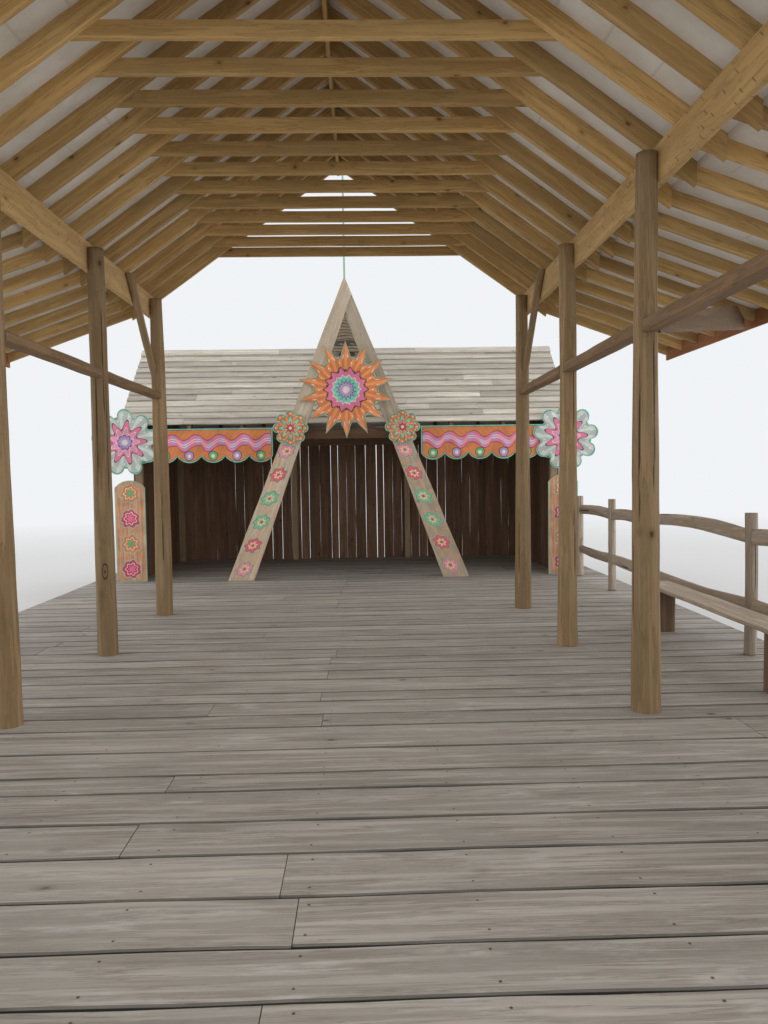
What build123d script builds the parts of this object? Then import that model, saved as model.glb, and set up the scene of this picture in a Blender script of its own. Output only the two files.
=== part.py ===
from build123d import *
from math import atan, cos, degrees, hypot, pi, sin
import os

# Bandstand: an open timber hall on log posts, a strip of open deck and a
# boarded stage hut, all on one timber deck.
# The origin is on the ground at the middle of the whole footprint, +Y runs
# from the audience end to the stage, +X is to the right and +Z is up.

# Driving dimensions of the deck, in millimetres
deck_half_width = 3750
deck_half_length = 6750
bearer_size = 100
bearer_rows = 9
joist_width = 50
joist_depth = 150
joist_rows = 13
deck_thickness = 40
deck_top = bearer_size + joist_depth + deck_thickness

# Driving dimensions of the log posts
bay_count = 4
bay_length = 1880
post_line = 2000
first_post_margin = 460
post_foot_radius = 92
post_head_radius = 80
post_flat_count = 24
post_clearance = 6
post_head_drop = 55

# Driving dimensions of the plate beams and the side rails
beam_width = 50
beam_depth = 240
beam_offset = 55
beam_rise = 3510
rail_width = 100
rail_depth = 80
rail_rise = 2365
rail_housing = 16
log_rail_corner = 34
sawn_rail_corner = 8
tenon_width = 60
tenon_height = 50
tenon_reach = 70

# Driving dimensions of the knee braces
brace_thickness = 62
brace_rise = 2600
brace_run = 848
brace_height = 140
brace_housing_room = 38

# Driving dimensions of the main roof
rafter_pitch = 400
rafter_count = 21
rafter_overhang = 100
rafter_width = 47
rafter_depth = 125
main_slope = 0.712
collar_rise = 4020
collar_half = 1360
collar_depth = 100
collar_width = 45
collar_trim = 12
ridge_width = 32
ridge_depth = 200
tail_x = 2360
roof_thickness = 30
gable_reach = 75

# Driving dimensions of the lower roof slopes
skirt_slope = 0.35
skirt_depth = 100
skirt_start = 2130
eave_x = 3790
fascia_thickness = 22
fascia_depth = 165
drip = 20

# Driving dimensions of the eave strut on the right
strut_post = 2
strut_rafter = 15
strut_start = 60
strut_head_x = 3700
strut_thickness = 50
strut_depth = 115
strut_foot_rise = 2370
strut_head_drop = 100

# Driving dimensions of the stage hut
stage_roof_margin = 450
stage_roof_run = 1390
stage_roof_rise = 1300
stage_eave_rise = 2280
stage_roof_thickness = 35
stage_verge = 200
stage_post_size = 100
stage_post_corner = 9
stage_post_inset = 60
stage_beam_depth = 150
stage_rafter_pairs = 9
stage_rafter_depth = 100
wall_thickness = 25

# Driving dimensions of the crossed planks, the mast and the cowl
plank_thickness = 50
plank_foot_inner = 1380
plank_foot_outer = 1760
plank_inner_apex = 3840
plank_outer_apex = 4360
mast_radius = 14
mast_lap = 410
mast_reach = 1620
cowl_base_radius = 240
cowl_top_radius = 60
cowl_rise = 3660
cowl_height = 670
cowl_flat_count = 32
cowl_wall = 24
cowl_board = 25
neck_radius = 190
neck_wall = 28
neck_slots = 10
slot_width = 57
slot_margin = 10

# Driving dimensions of the painted boards
paint_board = 25
trim_start = 1080
trim_margin = 600
trim_drop = 65
trim_depth = 400
trim_scallops = 6
scallop_drop = 95
roundel_margin = 550
roundel_drop = 250
roundel_radius = 380
roundel_lobes = 9
lobe_radius = 105
pillar_margin = 350
pillar_width = 440
pillar_height = 1480
sun_drop = 1100
sun_radius = 470
sun_rays = 14
sun_tip = 700
ray_root = 409
ray_width = 190
rosette_offset = 78
rosette_drop = 1640
rosette_radius = 190
rosette_lobes = 8
rosette_lobe_radius = 68

# Driving dimensions of the side fence and the bench
fence_margin = 380
fence_places = (170, 1620, 2670, 5120, 7570, 10020)
fence_post_radius = 50
fence_post_height = 1160
fence_post_chamfer = 10
fence_rail_heights = (400, 965)
fence_rail_bow = (-30, 40)
fence_rail_wave = 10
fence_rail_stations = 7
fence_rail_width = 50
fence_rail_height = 130
fence_rail_taper = 82
fence_housing = 14
fence_housing_room = 24
bench_clear = 145
bench_setback = 3950
bench_length = 2420
bench_width = 270
bench_thickness = 45
bench_edge = 12
bench_rise = 450
block_length = 160
block_width = 200
block_corner = 20

# Places worked out from the driving dimensions
beam_inner = post_line + beam_offset
beam_top = deck_top + beam_rise
rail_bottom = deck_top + rail_rise
brace_foot = deck_top + brace_rise
collar_bottom = deck_top + collar_rise
first_post_y = first_post_margin - deck_half_length
post_rows = [first_post_y + bay * bay_length for bay in range(bay_count + 1)]
last_post_y = post_rows[-1]
rail_reach = post_head_radius - rail_housing
rafter_rows = [first_post_y - rafter_overhang + n * rafter_pitch for n in range(rafter_count)]
roof_front = rafter_rows[0] - gable_reach
roof_back = rafter_rows[-1] + gable_reach
roof_length = roof_back - roof_front
roof_middle = (roof_front + roof_back) / 2
main_angle = atan(main_slope)
rafter_drop = rafter_depth / cos(main_angle)
roof_drop = roof_thickness / cos(main_angle)
skirt_drop = skirt_depth / cos(atan(skirt_slope))
skirt_roof_drop = roof_thickness / cos(atan(skirt_slope))
stage_half_width = deck_half_width - stage_roof_margin
stage_wall_line = stage_half_width - stage_verge
stage_eave_top = deck_top + stage_eave_rise
stage_slope = stage_roof_rise / stage_roof_run
stage_ridge_y = deck_half_length - stage_roof_run
stage_eave_y = stage_ridge_y - stage_roof_run
stage_roof_drop = stage_roof_thickness / cos(atan(stage_slope))
stage_rafter_drop = stage_rafter_depth / cos(atan(stage_slope))
stage_front_y = stage_eave_y + stage_post_inset
stage_back_y = 2 * stage_ridge_y - stage_front_y
board_face_y = stage_eave_y - 2 * plank_thickness


def rafter_under(x):
    """Height of the main rafters' underside, x from the middle line."""
    return collar_bottom - main_slope * (x - collar_half)


def rafter_top(x):
    """Height of the main rafters' upper edge, x from the middle line."""
    return rafter_under(x) + rafter_drop


def skirt_top(x):
    """Height of the lower rafters' upper edge, which starts level with the tails."""
    return rafter_top(tail_x) - skirt_slope * (x - tail_x)


def stage_roof_top(y):
    """Height of the hut roof's outer face over either slope."""
    return stage_eave_top + stage_slope * (stage_roof_run - abs(y - stage_ridge_y))


def stage_rafter_under(y):
    """Height of the hut rafters' underside over either slope."""
    return stage_roof_top(y) - stage_roof_drop - stage_rafter_drop


stage_beam_top = stage_rafter_under(stage_front_y + stage_post_size / 2)


def slice_profile(points, plane, thickness):
    """A flat timber: the outline given by its corners, as thick as stated, centred on the plane."""
    with BuildPart() as timber:
        with BuildSketch(plane):
            with BuildLine():
                Polyline(*points, close=True)
            make_face()
        extrude(amount=thickness / 2, both=True)
    return timber.part


# Ground bearers, laid crosswise on the ground
with BuildPart() as ground_bearers:
    bearer_gap = (2 * deck_half_length - bearer_size) / (bearer_rows - 1)
    with GridLocations(0, bearer_gap, 1, bearer_rows):
        Box(2 * deck_half_width, bearer_size, bearer_size, align=(Align.CENTER, Align.CENTER, Align.MIN))

# Floor joists, lengthwise on the bearers and clear of the posts
with BuildPart() as floor_joists:
    joist_gap = (2 * deck_half_width - joist_width) / (joist_rows - 1)
    with Locations((0, 0, bearer_size)):
        with GridLocations(joist_gap, 0, joist_rows, 1):
            Box(
                joist_width,
                2 * deck_half_length,
                joist_depth,
                align=(Align.CENTER, Align.CENTER, Align.MIN),
            )

# Deck floor, with a round hole round each log post
with BuildPart() as deck_floor:
    with BuildSketch(Plane.XY.offset(deck_top - deck_thickness)):
        Rectangle(2 * deck_half_width, 2 * deck_half_length)
        with GridLocations(2 * post_line, 0, 2, 1):
            with Locations(*[(0, row) for row in post_rows]):
                Circle(post_foot_radius + post_clearance, mode=Mode.SUBTRACT)
    extrude(amount=deck_thickness)


def log_row(side):
    """Five peeled log posts of one side, each one thinner at the head.

    The drawknife leaves a log many-sided, so each one is a polygon drawn to a taper.
    The head is notched on the outside for the plate beam, and a flat housing is cut for
    the side rail on each face that takes one. The last log has a mortise right through
    it for the rail's tenon.
    """
    post_height = beam_top - post_head_drop
    taper = atan((post_foot_radius - post_head_radius) / post_height)
    with BuildPart() as logs:
        with BuildSketch():
            with Locations(*[(side * post_line, row) for row in post_rows]):
                RegularPolygon(post_foot_radius, post_flat_count)
        extrude(amount=post_height, taper=degrees(taper))
        beam_y = (post_rows[0] + last_post_y) / 2
        with Locations((side * beam_inner, beam_y, beam_top - beam_depth)):
            outward = Align.MIN if side > 0 else Align.MAX
            Box(
                beam_width,
                last_post_y - post_rows[0] + 4 * post_foot_radius,
                beam_depth,
                align=(outward, Align.CENTER, Align.MIN),
                mode=Mode.SUBTRACT,
            )
        for post_y in post_rows:
            faces = []
            if post_y > post_rows[0]:
                faces.append(-1)
            if post_y < last_post_y:
                faces.append(1)
            for face in faces:
                with Locations((side * post_line, post_y + face * rail_reach, rail_bottom)):
                    toward = Align.MIN if face > 0 else Align.MAX
                    Box(
                        2 * post_foot_radius,
                        post_foot_radius,
                        rail_depth,
                        align=(Align.CENTER, toward, Align.MIN),
                        mode=Mode.SUBTRACT,
                    )
        with Locations((side * post_line, last_post_y, rail_bottom + rail_depth / 2)):
            Box(tenon_width, 4 * post_foot_radius, tenon_height, mode=Mode.SUBTRACT)
        for post_y, toward_middle in ((post_rows[0], 1), (last_post_y, -1)):
            with Locations((side * post_line, post_y + toward_middle * rail_reach, brace_foot)):
                toward = Align.MIN if toward_middle > 0 else Align.MAX
                Box(
                    2 * post_foot_radius,
                    post_foot_radius,
                    brace_height + brace_housing_room,
                    align=(Align.CENTER, toward, Align.MIN),
                    mode=Mode.SUBTRACT,
                )
    return logs


posts_left = log_row(-1)
posts_right = log_row(1)

# Plate beams, housed in the outer side of the log heads
with BuildPart() as plate_beam_right:
    with Locations((beam_inner, roof_middle, beam_top - beam_depth)):
        Box(beam_width, roof_length, beam_depth, align=(Align.MIN, Align.CENTER, Align.MIN))

with BuildPart() as plate_beam_left:
    mirror(plate_beam_right.part, about=Plane.YZ)


def side_rails(side, corner_radius):
    """Rails between the logs of one side; the last one ends in a tenon past its post."""
    with BuildPart() as rails:
        for start_y, end_y in zip(post_rows, post_rows[1:]):
            near = start_y + rail_reach
            far = end_y - rail_reach
            with BuildSketch(Plane.XZ.offset(-near)):
                with Locations((side * post_line, rail_bottom + rail_depth / 2)):
                    RectangleRounded(rail_width, rail_depth, corner_radius)
            extrude(amount=near - far)
        with Locations((side * post_line, last_post_y - rail_reach, rail_bottom + rail_depth / 2)):
            Box(
                tenon_width,
                rail_reach + post_foot_radius + tenon_reach,
                tenon_height,
                align=(Align.CENTER, Align.MIN, Align.CENTER),
            )
    return rails


side_rail_left = side_rails(-1, log_rail_corner)
side_rail_right = side_rails(1, sawn_rail_corner)

# Knee braces, from the end posts up to the top of the plate beams
brace_plane = Plane.YZ.offset(beam_inner - brace_thickness / 2)
brace_climb = beam_top - brace_foot
brace_top_run = brace_run * (brace_climb - brace_height) / brace_climb
with BuildPart() as knee_braces:
    for post_y, toward_middle in ((post_rows[0], 1), (last_post_y, -1)):
        face_y = post_y + toward_middle * rail_reach
        brace = slice_profile(
            [
                (face_y, brace_foot),
                (face_y, brace_foot + brace_height),
                (face_y + toward_middle * brace_top_run, beam_top),
                (face_y + toward_middle * brace_run, beam_top),
            ],
            brace_plane,
            brace_thickness,
        )
        add(brace)
        mirror(brace, about=Plane.YZ)

# Ridge board between the heads of the rafters
with BuildPart() as ridge_board:
    with Locations((0, roof_middle, rafter_top(ridge_width / 2))):
        Box(ridge_width, roof_length, ridge_depth, align=(Align.CENTER, Align.CENTER, Align.MAX))

# Main rafters: plumb cut at the ridge and the tail, birdsmouthed over the plate beam
with BuildPart() as main_rafter:
    add(
        slice_profile(
            [
                (ridge_width / 2, rafter_under(ridge_width / 2)),
                (ridge_width / 2, rafter_top(ridge_width / 2)),
                (tail_x, rafter_top(tail_x)),
                (tail_x, rafter_under(tail_x)),
            ],
            Plane.XZ,
            rafter_width,
        )
    )
    with Locations((beam_inner, 0, beam_top)):
        Box(
            beam_width,
            2 * rafter_width,
            beam_depth,
            align=(Align.MIN, Align.CENTER, Align.MAX),
            mode=Mode.SUBTRACT,
        )

with BuildPart() as rafters_right:
    with Locations(*[(0, row, 0) for row in rafter_rows]):
        add(main_rafter.part)

with BuildPart() as rafters_left:
    mirror(rafters_right.part, about=Plane.YZ)

# Collar ties, nailed to the stage side of each rafter pair and cut to the roof slope
collar_y = (rafter_width + collar_width) / 2
collar_ends = []
for height in (collar_bottom, collar_bottom + collar_depth):
    collar_ends.append(collar_half + (rafter_drop - collar_trim - height + collar_bottom) / main_slope)
collar = slice_profile(
    [
        (-collar_ends[0], collar_bottom),
        (collar_ends[0], collar_bottom),
        (collar_ends[1], collar_bottom + collar_depth),
        (-collar_ends[1], collar_bottom + collar_depth),
    ],
    Plane.XZ,
    collar_width,
)
with BuildPart() as collar_ties:
    with Locations(*[(0, row + collar_y, 0) for row in rafter_rows]):
        add(collar)

# Lower rafters, lapped on the stage side of each tail and run out to the eaves
skirt_rafter = slice_profile(
    [
        (skirt_start, skirt_top(skirt_start) - skirt_drop),
        (skirt_start, skirt_top(skirt_start)),
        (eave_x, skirt_top(eave_x)),
        (eave_x, skirt_top(eave_x) - skirt_drop),
    ],
    Plane.XZ,
    rafter_width,
)
with BuildPart() as skirt_rafters_right:
    with Locations(*[(0, row + rafter_width, 0) for row in rafter_rows]):
        add(skirt_rafter)

with BuildPart() as skirt_rafters_left:
    mirror(skirt_rafters_right.part, about=Plane.YZ)

# Roof slopes, a steep one over the main rafters and a flatter one to the eaves
roof_plane = Plane.XZ.offset(-roof_middle)
with BuildPart() as roof_right:
    add(
        slice_profile(
            [
                (0, rafter_top(0)),
                (0, rafter_top(0) + roof_drop),
                (tail_x, rafter_top(tail_x) + roof_drop),
                (tail_x, rafter_top(tail_x)),
            ],
            roof_plane,
            roof_length,
        )
    )

with BuildPart() as roof_left:
    mirror(roof_right.part, about=Plane.YZ)

skirt_edge = eave_x + fascia_thickness + drip
with BuildPart() as skirt_roof_right:
    add(
        slice_profile(
            [
                (tail_x, skirt_top(tail_x)),
                (tail_x, skirt_top(tail_x) + skirt_roof_drop),
                (skirt_edge, skirt_top(skirt_edge) + skirt_roof_drop),
                (skirt_edge, skirt_top(skirt_edge)),
            ],
            roof_plane,
            roof_length,
        )
    )

with BuildPart() as skirt_roof_left:
    mirror(skirt_roof_right.part, about=Plane.YZ)

# Eave boards across the ends of the lower rafters, bevelled to the roof slope
fascia_outer = eave_x + fascia_thickness
with BuildPart() as eave_fascia_right:
    add(
        slice_profile(
            [
                (eave_x, skirt_top(eave_x)),
                (fascia_outer, skirt_top(fascia_outer)),
                (fascia_outer, skirt_top(eave_x) - fascia_depth),
                (eave_x, skirt_top(eave_x) - fascia_depth),
            ],
            roof_plane,
            roof_length,
        )
    )

with BuildPart() as eave_fascia_left:
    mirror(eave_fascia_right.part, about=Plane.YZ)

# Eave strut: a raking timber from one log on the right to the underside of the lower
# rafters, coped to the log and cut to the roof slope
strut_foot_x = post_line + strut_start
strut_foot_y = post_rows[strut_post]
strut_head_y = rafter_rows[strut_rafter] + 2 * rafter_width
strut_run = hypot(strut_head_x - strut_foot_x, strut_head_y - strut_foot_y)
strut_foot_z = deck_top + strut_foot_rise
strut_head_z = skirt_top(strut_head_x) - skirt_drop - strut_head_drop
strut_plane = Plane(
    origin=(strut_foot_x, strut_foot_y, 0),
    x_dir=(strut_head_x - strut_foot_x, strut_head_y - strut_foot_y, 0),
    z_dir=(strut_head_y - strut_foot_y, strut_foot_x - strut_head_x, 0),
)
with BuildPart() as eave_strut:
    add(
        slice_profile(
            [
                (0, strut_foot_z),
                (strut_run, strut_head_z),
                (strut_run, strut_head_z + 2 * strut_depth),
                (0, strut_foot_z + strut_depth),
            ],
            strut_plane,
            strut_thickness,
        )
    )
    add(
        slice_profile(
            [
                (skirt_start, skirt_top(skirt_start) - skirt_drop),
                (eave_x, skirt_top(eave_x) - skirt_drop),
                (eave_x, beam_top),
                (skirt_start, beam_top),
            ],
            roof_plane,
            roof_length,
        ),
        mode=Mode.SUBTRACT,
    )
    add(posts_right.part, mode=Mode.SUBTRACT)

# Hut posts: two at the front corners and four along the back
post_axis_x = stage_wall_line - stage_post_size / 2
front_axis_y = stage_front_y + stage_post_size / 2
back_axis_y = stage_back_y - stage_post_size / 2
hut_post_places = [(-post_axis_x, front_axis_y), (post_axis_x, front_axis_y)]
hut_post_places += [(post_axis_x * share, back_axis_y) for share in (-1, -1 / 3, 1 / 3, 1)]
with BuildPart() as stage_posts:
    with BuildSketch(Plane.XY.offset(deck_top)):
        with Locations(*hut_post_places):
            RectangleRounded(stage_post_size, stage_post_size, stage_post_corner)
    extrude(amount=stage_beam_top - stage_beam_depth - deck_top)

# Hut beams along the front and the back, on the posts
with BuildPart() as stage_beams:
    for axis_y in (front_axis_y, back_axis_y):
        with Locations((0, axis_y, stage_beam_top - stage_beam_depth)):
            Box(
                2 * stage_wall_line,
                stage_post_size,
                stage_beam_depth,
                align=(Align.CENTER, Align.CENTER, Align.MIN),
            )

# Hut rafters, each pair plumb cut together at the ridge and birdsmouthed at the beams
with BuildPart() as hut_rafter:
    add(
        slice_profile(
            [
                (stage_eave_y, stage_rafter_under(stage_eave_y)),
                (stage_eave_y, stage_rafter_under(stage_eave_y) + stage_rafter_drop),
                (stage_ridge_y, stage_rafter_under(stage_ridge_y) + stage_rafter_drop),
                (stage_ridge_y, stage_rafter_under(stage_ridge_y)),
            ],
            Plane.YZ,
            rafter_width,
        )
    )
    with Locations((0, front_axis_y, stage_beam_top)):
        Box(
            2 * rafter_width,
            stage_post_size,
            stage_beam_depth,
            align=(Align.CENTER, Align.CENTER, Align.MAX),
            mode=Mode.SUBTRACT,
        )

stage_rafter_gap = 2 * post_axis_x / (stage_rafter_pairs - 1)
with BuildPart() as stage_rafters_front:
    with GridLocations(stage_rafter_gap, 0, stage_rafter_pairs, 1):
        add(hut_rafter.part)

with BuildPart() as stage_rafters_back:
    mirror(stage_rafters_front.part, about=Plane.XZ.offset(-stage_ridge_y))

# Hut roof slopes
with BuildPart() as stage_roof_front:
    add(
        slice_profile(
            [
                (stage_eave_y, stage_roof_top(stage_eave_y) - stage_roof_drop),
                (stage_eave_y, stage_roof_top(stage_eave_y)),
                (stage_ridge_y, stage_roof_top(stage_ridge_y)),
                (stage_ridge_y, stage_roof_top(stage_ridge_y) - stage_roof_drop),
            ],
            Plane.YZ,
            2 * stage_half_width,
        )
    )

with BuildPart() as stage_roof_back:
    mirror(stage_roof_front.part, about=Plane.XZ.offset(-stage_ridge_y))

# Hut walls: the back one ends under the rafter tails, the side ones run up to the roof
back_wall_top = stage_rafter_under(stage_back_y + wall_thickness)
with BuildPart() as stage_back_wall:
    with Locations((0, stage_back_y, deck_top)):
        Box(
            2 * stage_wall_line,
            wall_thickness,
            back_wall_top - deck_top,
            align=(Align.CENTER, Align.MIN, Align.MIN),
        )

side_wall_plane = Plane.YZ.offset(stage_wall_line + wall_thickness / 2)
with BuildPart() as stage_wall_right:
    add(
        slice_profile(
            [
                (stage_front_y, deck_top),
                (stage_back_y, deck_top),
                (stage_back_y, stage_roof_top(stage_back_y) - stage_roof_drop),
                (stage_ridge_y, stage_roof_top(stage_ridge_y) - stage_roof_drop),
                (stage_front_y, stage_roof_top(stage_front_y) - stage_roof_drop),
            ],
            side_wall_plane,
            wall_thickness,
        )
    )

with BuildPart() as stage_wall_left:
    mirror(stage_wall_right.part, about=Plane.YZ)

# Crossed planks of the tall frame: each one widens to its foot and is cut off at the
# other one's outer edge, so that the two tips close to one point
outer_lean = plank_foot_outer / plank_outer_apex
inner_lean = plank_foot_inner / plank_inner_apex
lap_height = (plank_inner_apex * inner_lean + plank_outer_apex * outer_lean) / (inner_lean + outer_lean)
lap_reach = (lap_height - plank_inner_apex) * inner_lean


def crossed_plank(side, middle_y):
    """One leg of the tall frame; side is -1 for the left foot and 1 for the right."""
    corners = [
        (side * plank_foot_outer, deck_top),
        (side * plank_foot_inner, deck_top),
        (-side * lap_reach, deck_top + lap_height),
        (0, deck_top + plank_outer_apex),
    ]
    return slice_profile(corners, Plane.XZ.offset(-middle_y), plank_thickness)


with BuildPart() as frame_leg_left:
    add(crossed_plank(-1, stage_eave_y - 1.5 * plank_thickness))

with BuildPart() as frame_leg_right:
    add(crossed_plank(1, stage_eave_y - 0.5 * plank_thickness))

# Mast, fixed behind the crossing and standing up past the tip
with BuildPart() as mast:
    with BuildSketch(Plane.XY.offset(deck_top + plank_outer_apex - mast_lap)):
        with Locations((0, stage_eave_y + mast_radius)):
            Circle(mast_radius)
    extrude(amount=mast_lap + mast_reach)

# Cowl over the hut ridge: a hollow many-sided cone with an open base board, on a slotted
# neck that is cut to straddle the roof
cowl_bottom = deck_top + cowl_rise
cowl_lean = (cowl_base_radius - cowl_top_radius) / cowl_height
with BuildPart() as cowl:
    with BuildSketch(Plane.XY.offset(cowl_bottom)):
        with Locations((0, stage_ridge_y)):
            RegularPolygon(cowl_base_radius, cowl_flat_count)
    extrude(amount=cowl_height, taper=degrees(atan(cowl_lean)))
    with BuildSketch(Plane.XY.offset(cowl_bottom + cowl_board)):
        with Locations((0, stage_ridge_y)):
            RegularPolygon(cowl_base_radius - cowl_board * cowl_lean - cowl_wall, cowl_flat_count)
    extrude(
        amount=cowl_height - cowl_board - cowl_wall,
        taper=degrees(atan(cowl_lean)),
        mode=Mode.SUBTRACT,
    )
    with BuildSketch(Plane.XY.offset(cowl_bottom)):
        with Locations((0, stage_ridge_y)):
            Circle(neck_radius - neck_wall)
    extrude(amount=cowl_board, mode=Mode.SUBTRACT)

neck_foot = stage_roof_top(stage_ridge_y - cowl_base_radius)
with BuildPart() as cowl_neck:
    with BuildSketch(Plane.XY.offset(neck_foot)):
        with Locations((0, stage_ridge_y)):
            Circle(neck_radius)
            Circle(neck_radius - neck_wall, mode=Mode.SUBTRACT)
    extrude(amount=cowl_bottom - neck_foot)
    slot_height = cowl_bottom - stage_roof_top(stage_ridge_y) - 2 * slot_margin
    with Locations((0, stage_ridge_y, cowl_bottom - slot_margin - slot_height / 2)):
        with PolarLocations(neck_radius - neck_wall / 2, neck_slots):
            Box(2 * neck_wall, slot_width, slot_height, mode=Mode.SUBTRACT)
    with BuildSketch(Plane.YZ):
        with BuildLine():
            Polyline(
                (stage_ridge_y - stage_roof_run, stage_eave_top),
                (stage_ridge_y, stage_eave_top + stage_roof_rise),
                (stage_ridge_y + stage_roof_run, stage_eave_top),
                close=True,
            )
        make_face()
    extrude(amount=2 * neck_radius, both=True, mode=Mode.SUBTRACT)

# Painted trim boards under the hut eave, with a scalloped lower edge
trim_end = deck_half_width - trim_margin
trim_top = stage_eave_top - trim_drop
trim_step = (trim_end - trim_start) / trim_scallops
with BuildPart() as painted_trim_right:
    with BuildSketch(Plane.XZ.offset(-stage_eave_y)):
        with BuildLine():
            trim_bottom = trim_top - trim_depth
            Polyline(
                (trim_start, trim_bottom),
                (trim_start, trim_top),
                (trim_end, trim_top),
                (trim_end, trim_bottom),
            )
            for n in range(trim_scallops):
                left = trim_start + n * trim_step
                middle = (left + trim_step / 2, trim_bottom - scallop_drop)
                ThreePointArc((left, trim_bottom), middle, (left + trim_step, trim_bottom))
        make_face()
    extrude(amount=paint_board)

with BuildPart() as painted_trim_left:
    mirror(painted_trim_right.part, about=Plane.YZ)

# Lobed roundels over the outer ends of the trim boards
roundel_x = deck_half_width - roundel_margin
roundel_z = stage_eave_top - roundel_drop
with BuildPart() as end_roundels:
    with BuildSketch(Plane.XZ.offset(paint_board - stage_eave_y)):
        with Locations((-roundel_x, roundel_z), (roundel_x, roundel_z)):
            Circle(roundel_radius)
            with PolarLocations(roundel_radius, roundel_lobes, start_angle=90):
                Circle(lobe_radius)
    extrude(amount=paint_board)

# Painted pillar boards with an arched head, on the front of the corner posts
pillar_outer = deck_half_width - pillar_margin
pillar_inner = pillar_outer - pillar_width
pillar_half = pillar_width / 2
pillar_middle = pillar_outer - pillar_half
with BuildPart() as pillar_boards:
    with BuildSketch(Plane.XZ.offset(-stage_front_y)):
        with BuildLine():
            shoulder = deck_top + pillar_height - pillar_half / 2
            Polyline(
                (pillar_inner, shoulder),
                (pillar_inner, deck_top),
                (pillar_outer, deck_top),
                (pillar_outer, shoulder),
            )
            crown = (pillar_middle, deck_top + pillar_height)
            ThreePointArc((pillar_inner, shoulder), crown, (pillar_outer, shoulder))
        make_face()
        mirror(about=Plane.YZ)
    extrude(amount=paint_board)

# Sunburst centre board across both planks
sun_z = deck_top + plank_inner_apex - sun_drop
ray_side = hypot(sun_tip - ray_root, ray_width / 2)
with BuildPart() as sun_board:
    with BuildSketch(Plane.XZ.offset(-board_face_y)):
        with Locations((0, sun_z)):
            Circle(sun_radius)
            with PolarLocations(ray_root, sun_rays, start_angle=90):
                Triangle(
                    a=ray_width,
                    b=ray_side,
                    c=ray_side,
                    rotation=-90,
                    align=(Align.CENTER, Align.MIN),
                )
    extrude(amount=paint_board)

# Rosettes on the planks, one on the front face of each leg
rosette_rise = plank_inner_apex - rosette_drop
leg_inner = inner_lean * rosette_drop
leg_outer = outer_lean * (plank_outer_apex - rosette_rise)
rosette_x = (leg_inner + leg_outer) / 2 + rosette_offset
rosette_z = deck_top + rosette_rise
with BuildPart() as leg_rosettes:
    for side, face_y in ((-1, board_face_y), (1, board_face_y + plank_thickness)):
        with BuildSketch(Plane.XZ.offset(-face_y)):
            with Locations((side * rosette_x, rosette_z)):
                Circle(rosette_radius)
                with PolarLocations(rosette_radius, rosette_lobes):
                    Circle(rosette_lobe_radius)
        extrude(amount=paint_board)

# Fence posts along the right edge of the deck, with a housing for each rail end
fence_x = deck_half_width - fence_margin
fence_rows = [stage_eave_y - place for place in fence_places]
fence_reach = fence_post_radius - fence_housing
with BuildPart() as fence_posts:
    with BuildSketch(Plane.XY.offset(deck_top)):
        with Locations(*[(fence_x, row) for row in fence_rows]):
            Circle(fence_post_radius)
    extrude(amount=fence_post_height)
    chamfer(fence_posts.faces().group_by(Axis.Z)[-1].edges(), fence_post_chamfer)
    for row_y in fence_rows:
        faces = []
        if row_y > fence_rows[-1]:
            faces.append(-1)
        if row_y < fence_rows[0]:
            faces.append(1)
        for face in faces:
            toward = Align.MIN if face > 0 else Align.MAX
            for height in fence_rail_heights:
                with Locations((fence_x, row_y + face * fence_reach, deck_top + height)):
                    Box(
                        2 * fence_post_radius,
                        fence_post_radius,
                        fence_rail_height + fence_housing_room,
                        align=(Align.CENTER, toward, Align.CENTER),
                        mode=Mode.SUBTRACT,
                    )

# Fence rails of split wood, the upper ones bowed up and the lower ones sagging. Each is
# lofted through wedge sections whose heights follow a half wave from post to post
with BuildPart() as fence_rails:
    for bay, (far_y, near_y) in enumerate(zip(fence_rows, fence_rows[1:])):
        for height, bow in zip(fence_rail_heights, fence_rail_bow):
            start_y = near_y + fence_reach
            length = far_y - near_y - 2 * fence_reach
            for station in range(fence_rail_stations):
                share = station / (fence_rail_stations - 1)
                rise = bow * sin(pi * share) + fence_rail_wave * sin(2 * pi * share) * cos(2 * bay + height)
                with BuildSketch(Plane.XZ.offset(-start_y - share * length)):
                    with Locations((fence_x, deck_top + height + rise)):
                        Trapezoid(fence_rail_width, fence_rail_height, fence_rail_taper)
            loft(ruled=True)

# Bench along the fence: a thick plank on two blocks
bench_x = fence_x - fence_post_radius - bench_clear - bench_width / 2
bench_top = deck_top + bench_rise
bench_end_y = stage_eave_y - bench_setback
bench_start_y = bench_end_y - bench_length
with BuildPart() as bench_seat:
    with Locations((bench_x, bench_start_y, bench_top)):
        Box(bench_width, bench_length, bench_thickness, align=(Align.CENTER, Align.MIN, Align.MAX))
    fillet(bench_seat.faces().sort_by(Axis.Z)[-1].edges().filter_by(Axis.Y), bench_edge)

with BuildPart() as bench_blocks:
    with BuildSketch(Plane.XY.offset(deck_top)):
        for place_y in (bench_start_y + block_length, bench_end_y - block_length):
            with Locations((bench_x, place_y)):
                RectangleRounded(block_width, block_length, block_corner)
    extrude(amount=bench_top - bench_thickness - deck_top)

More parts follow.
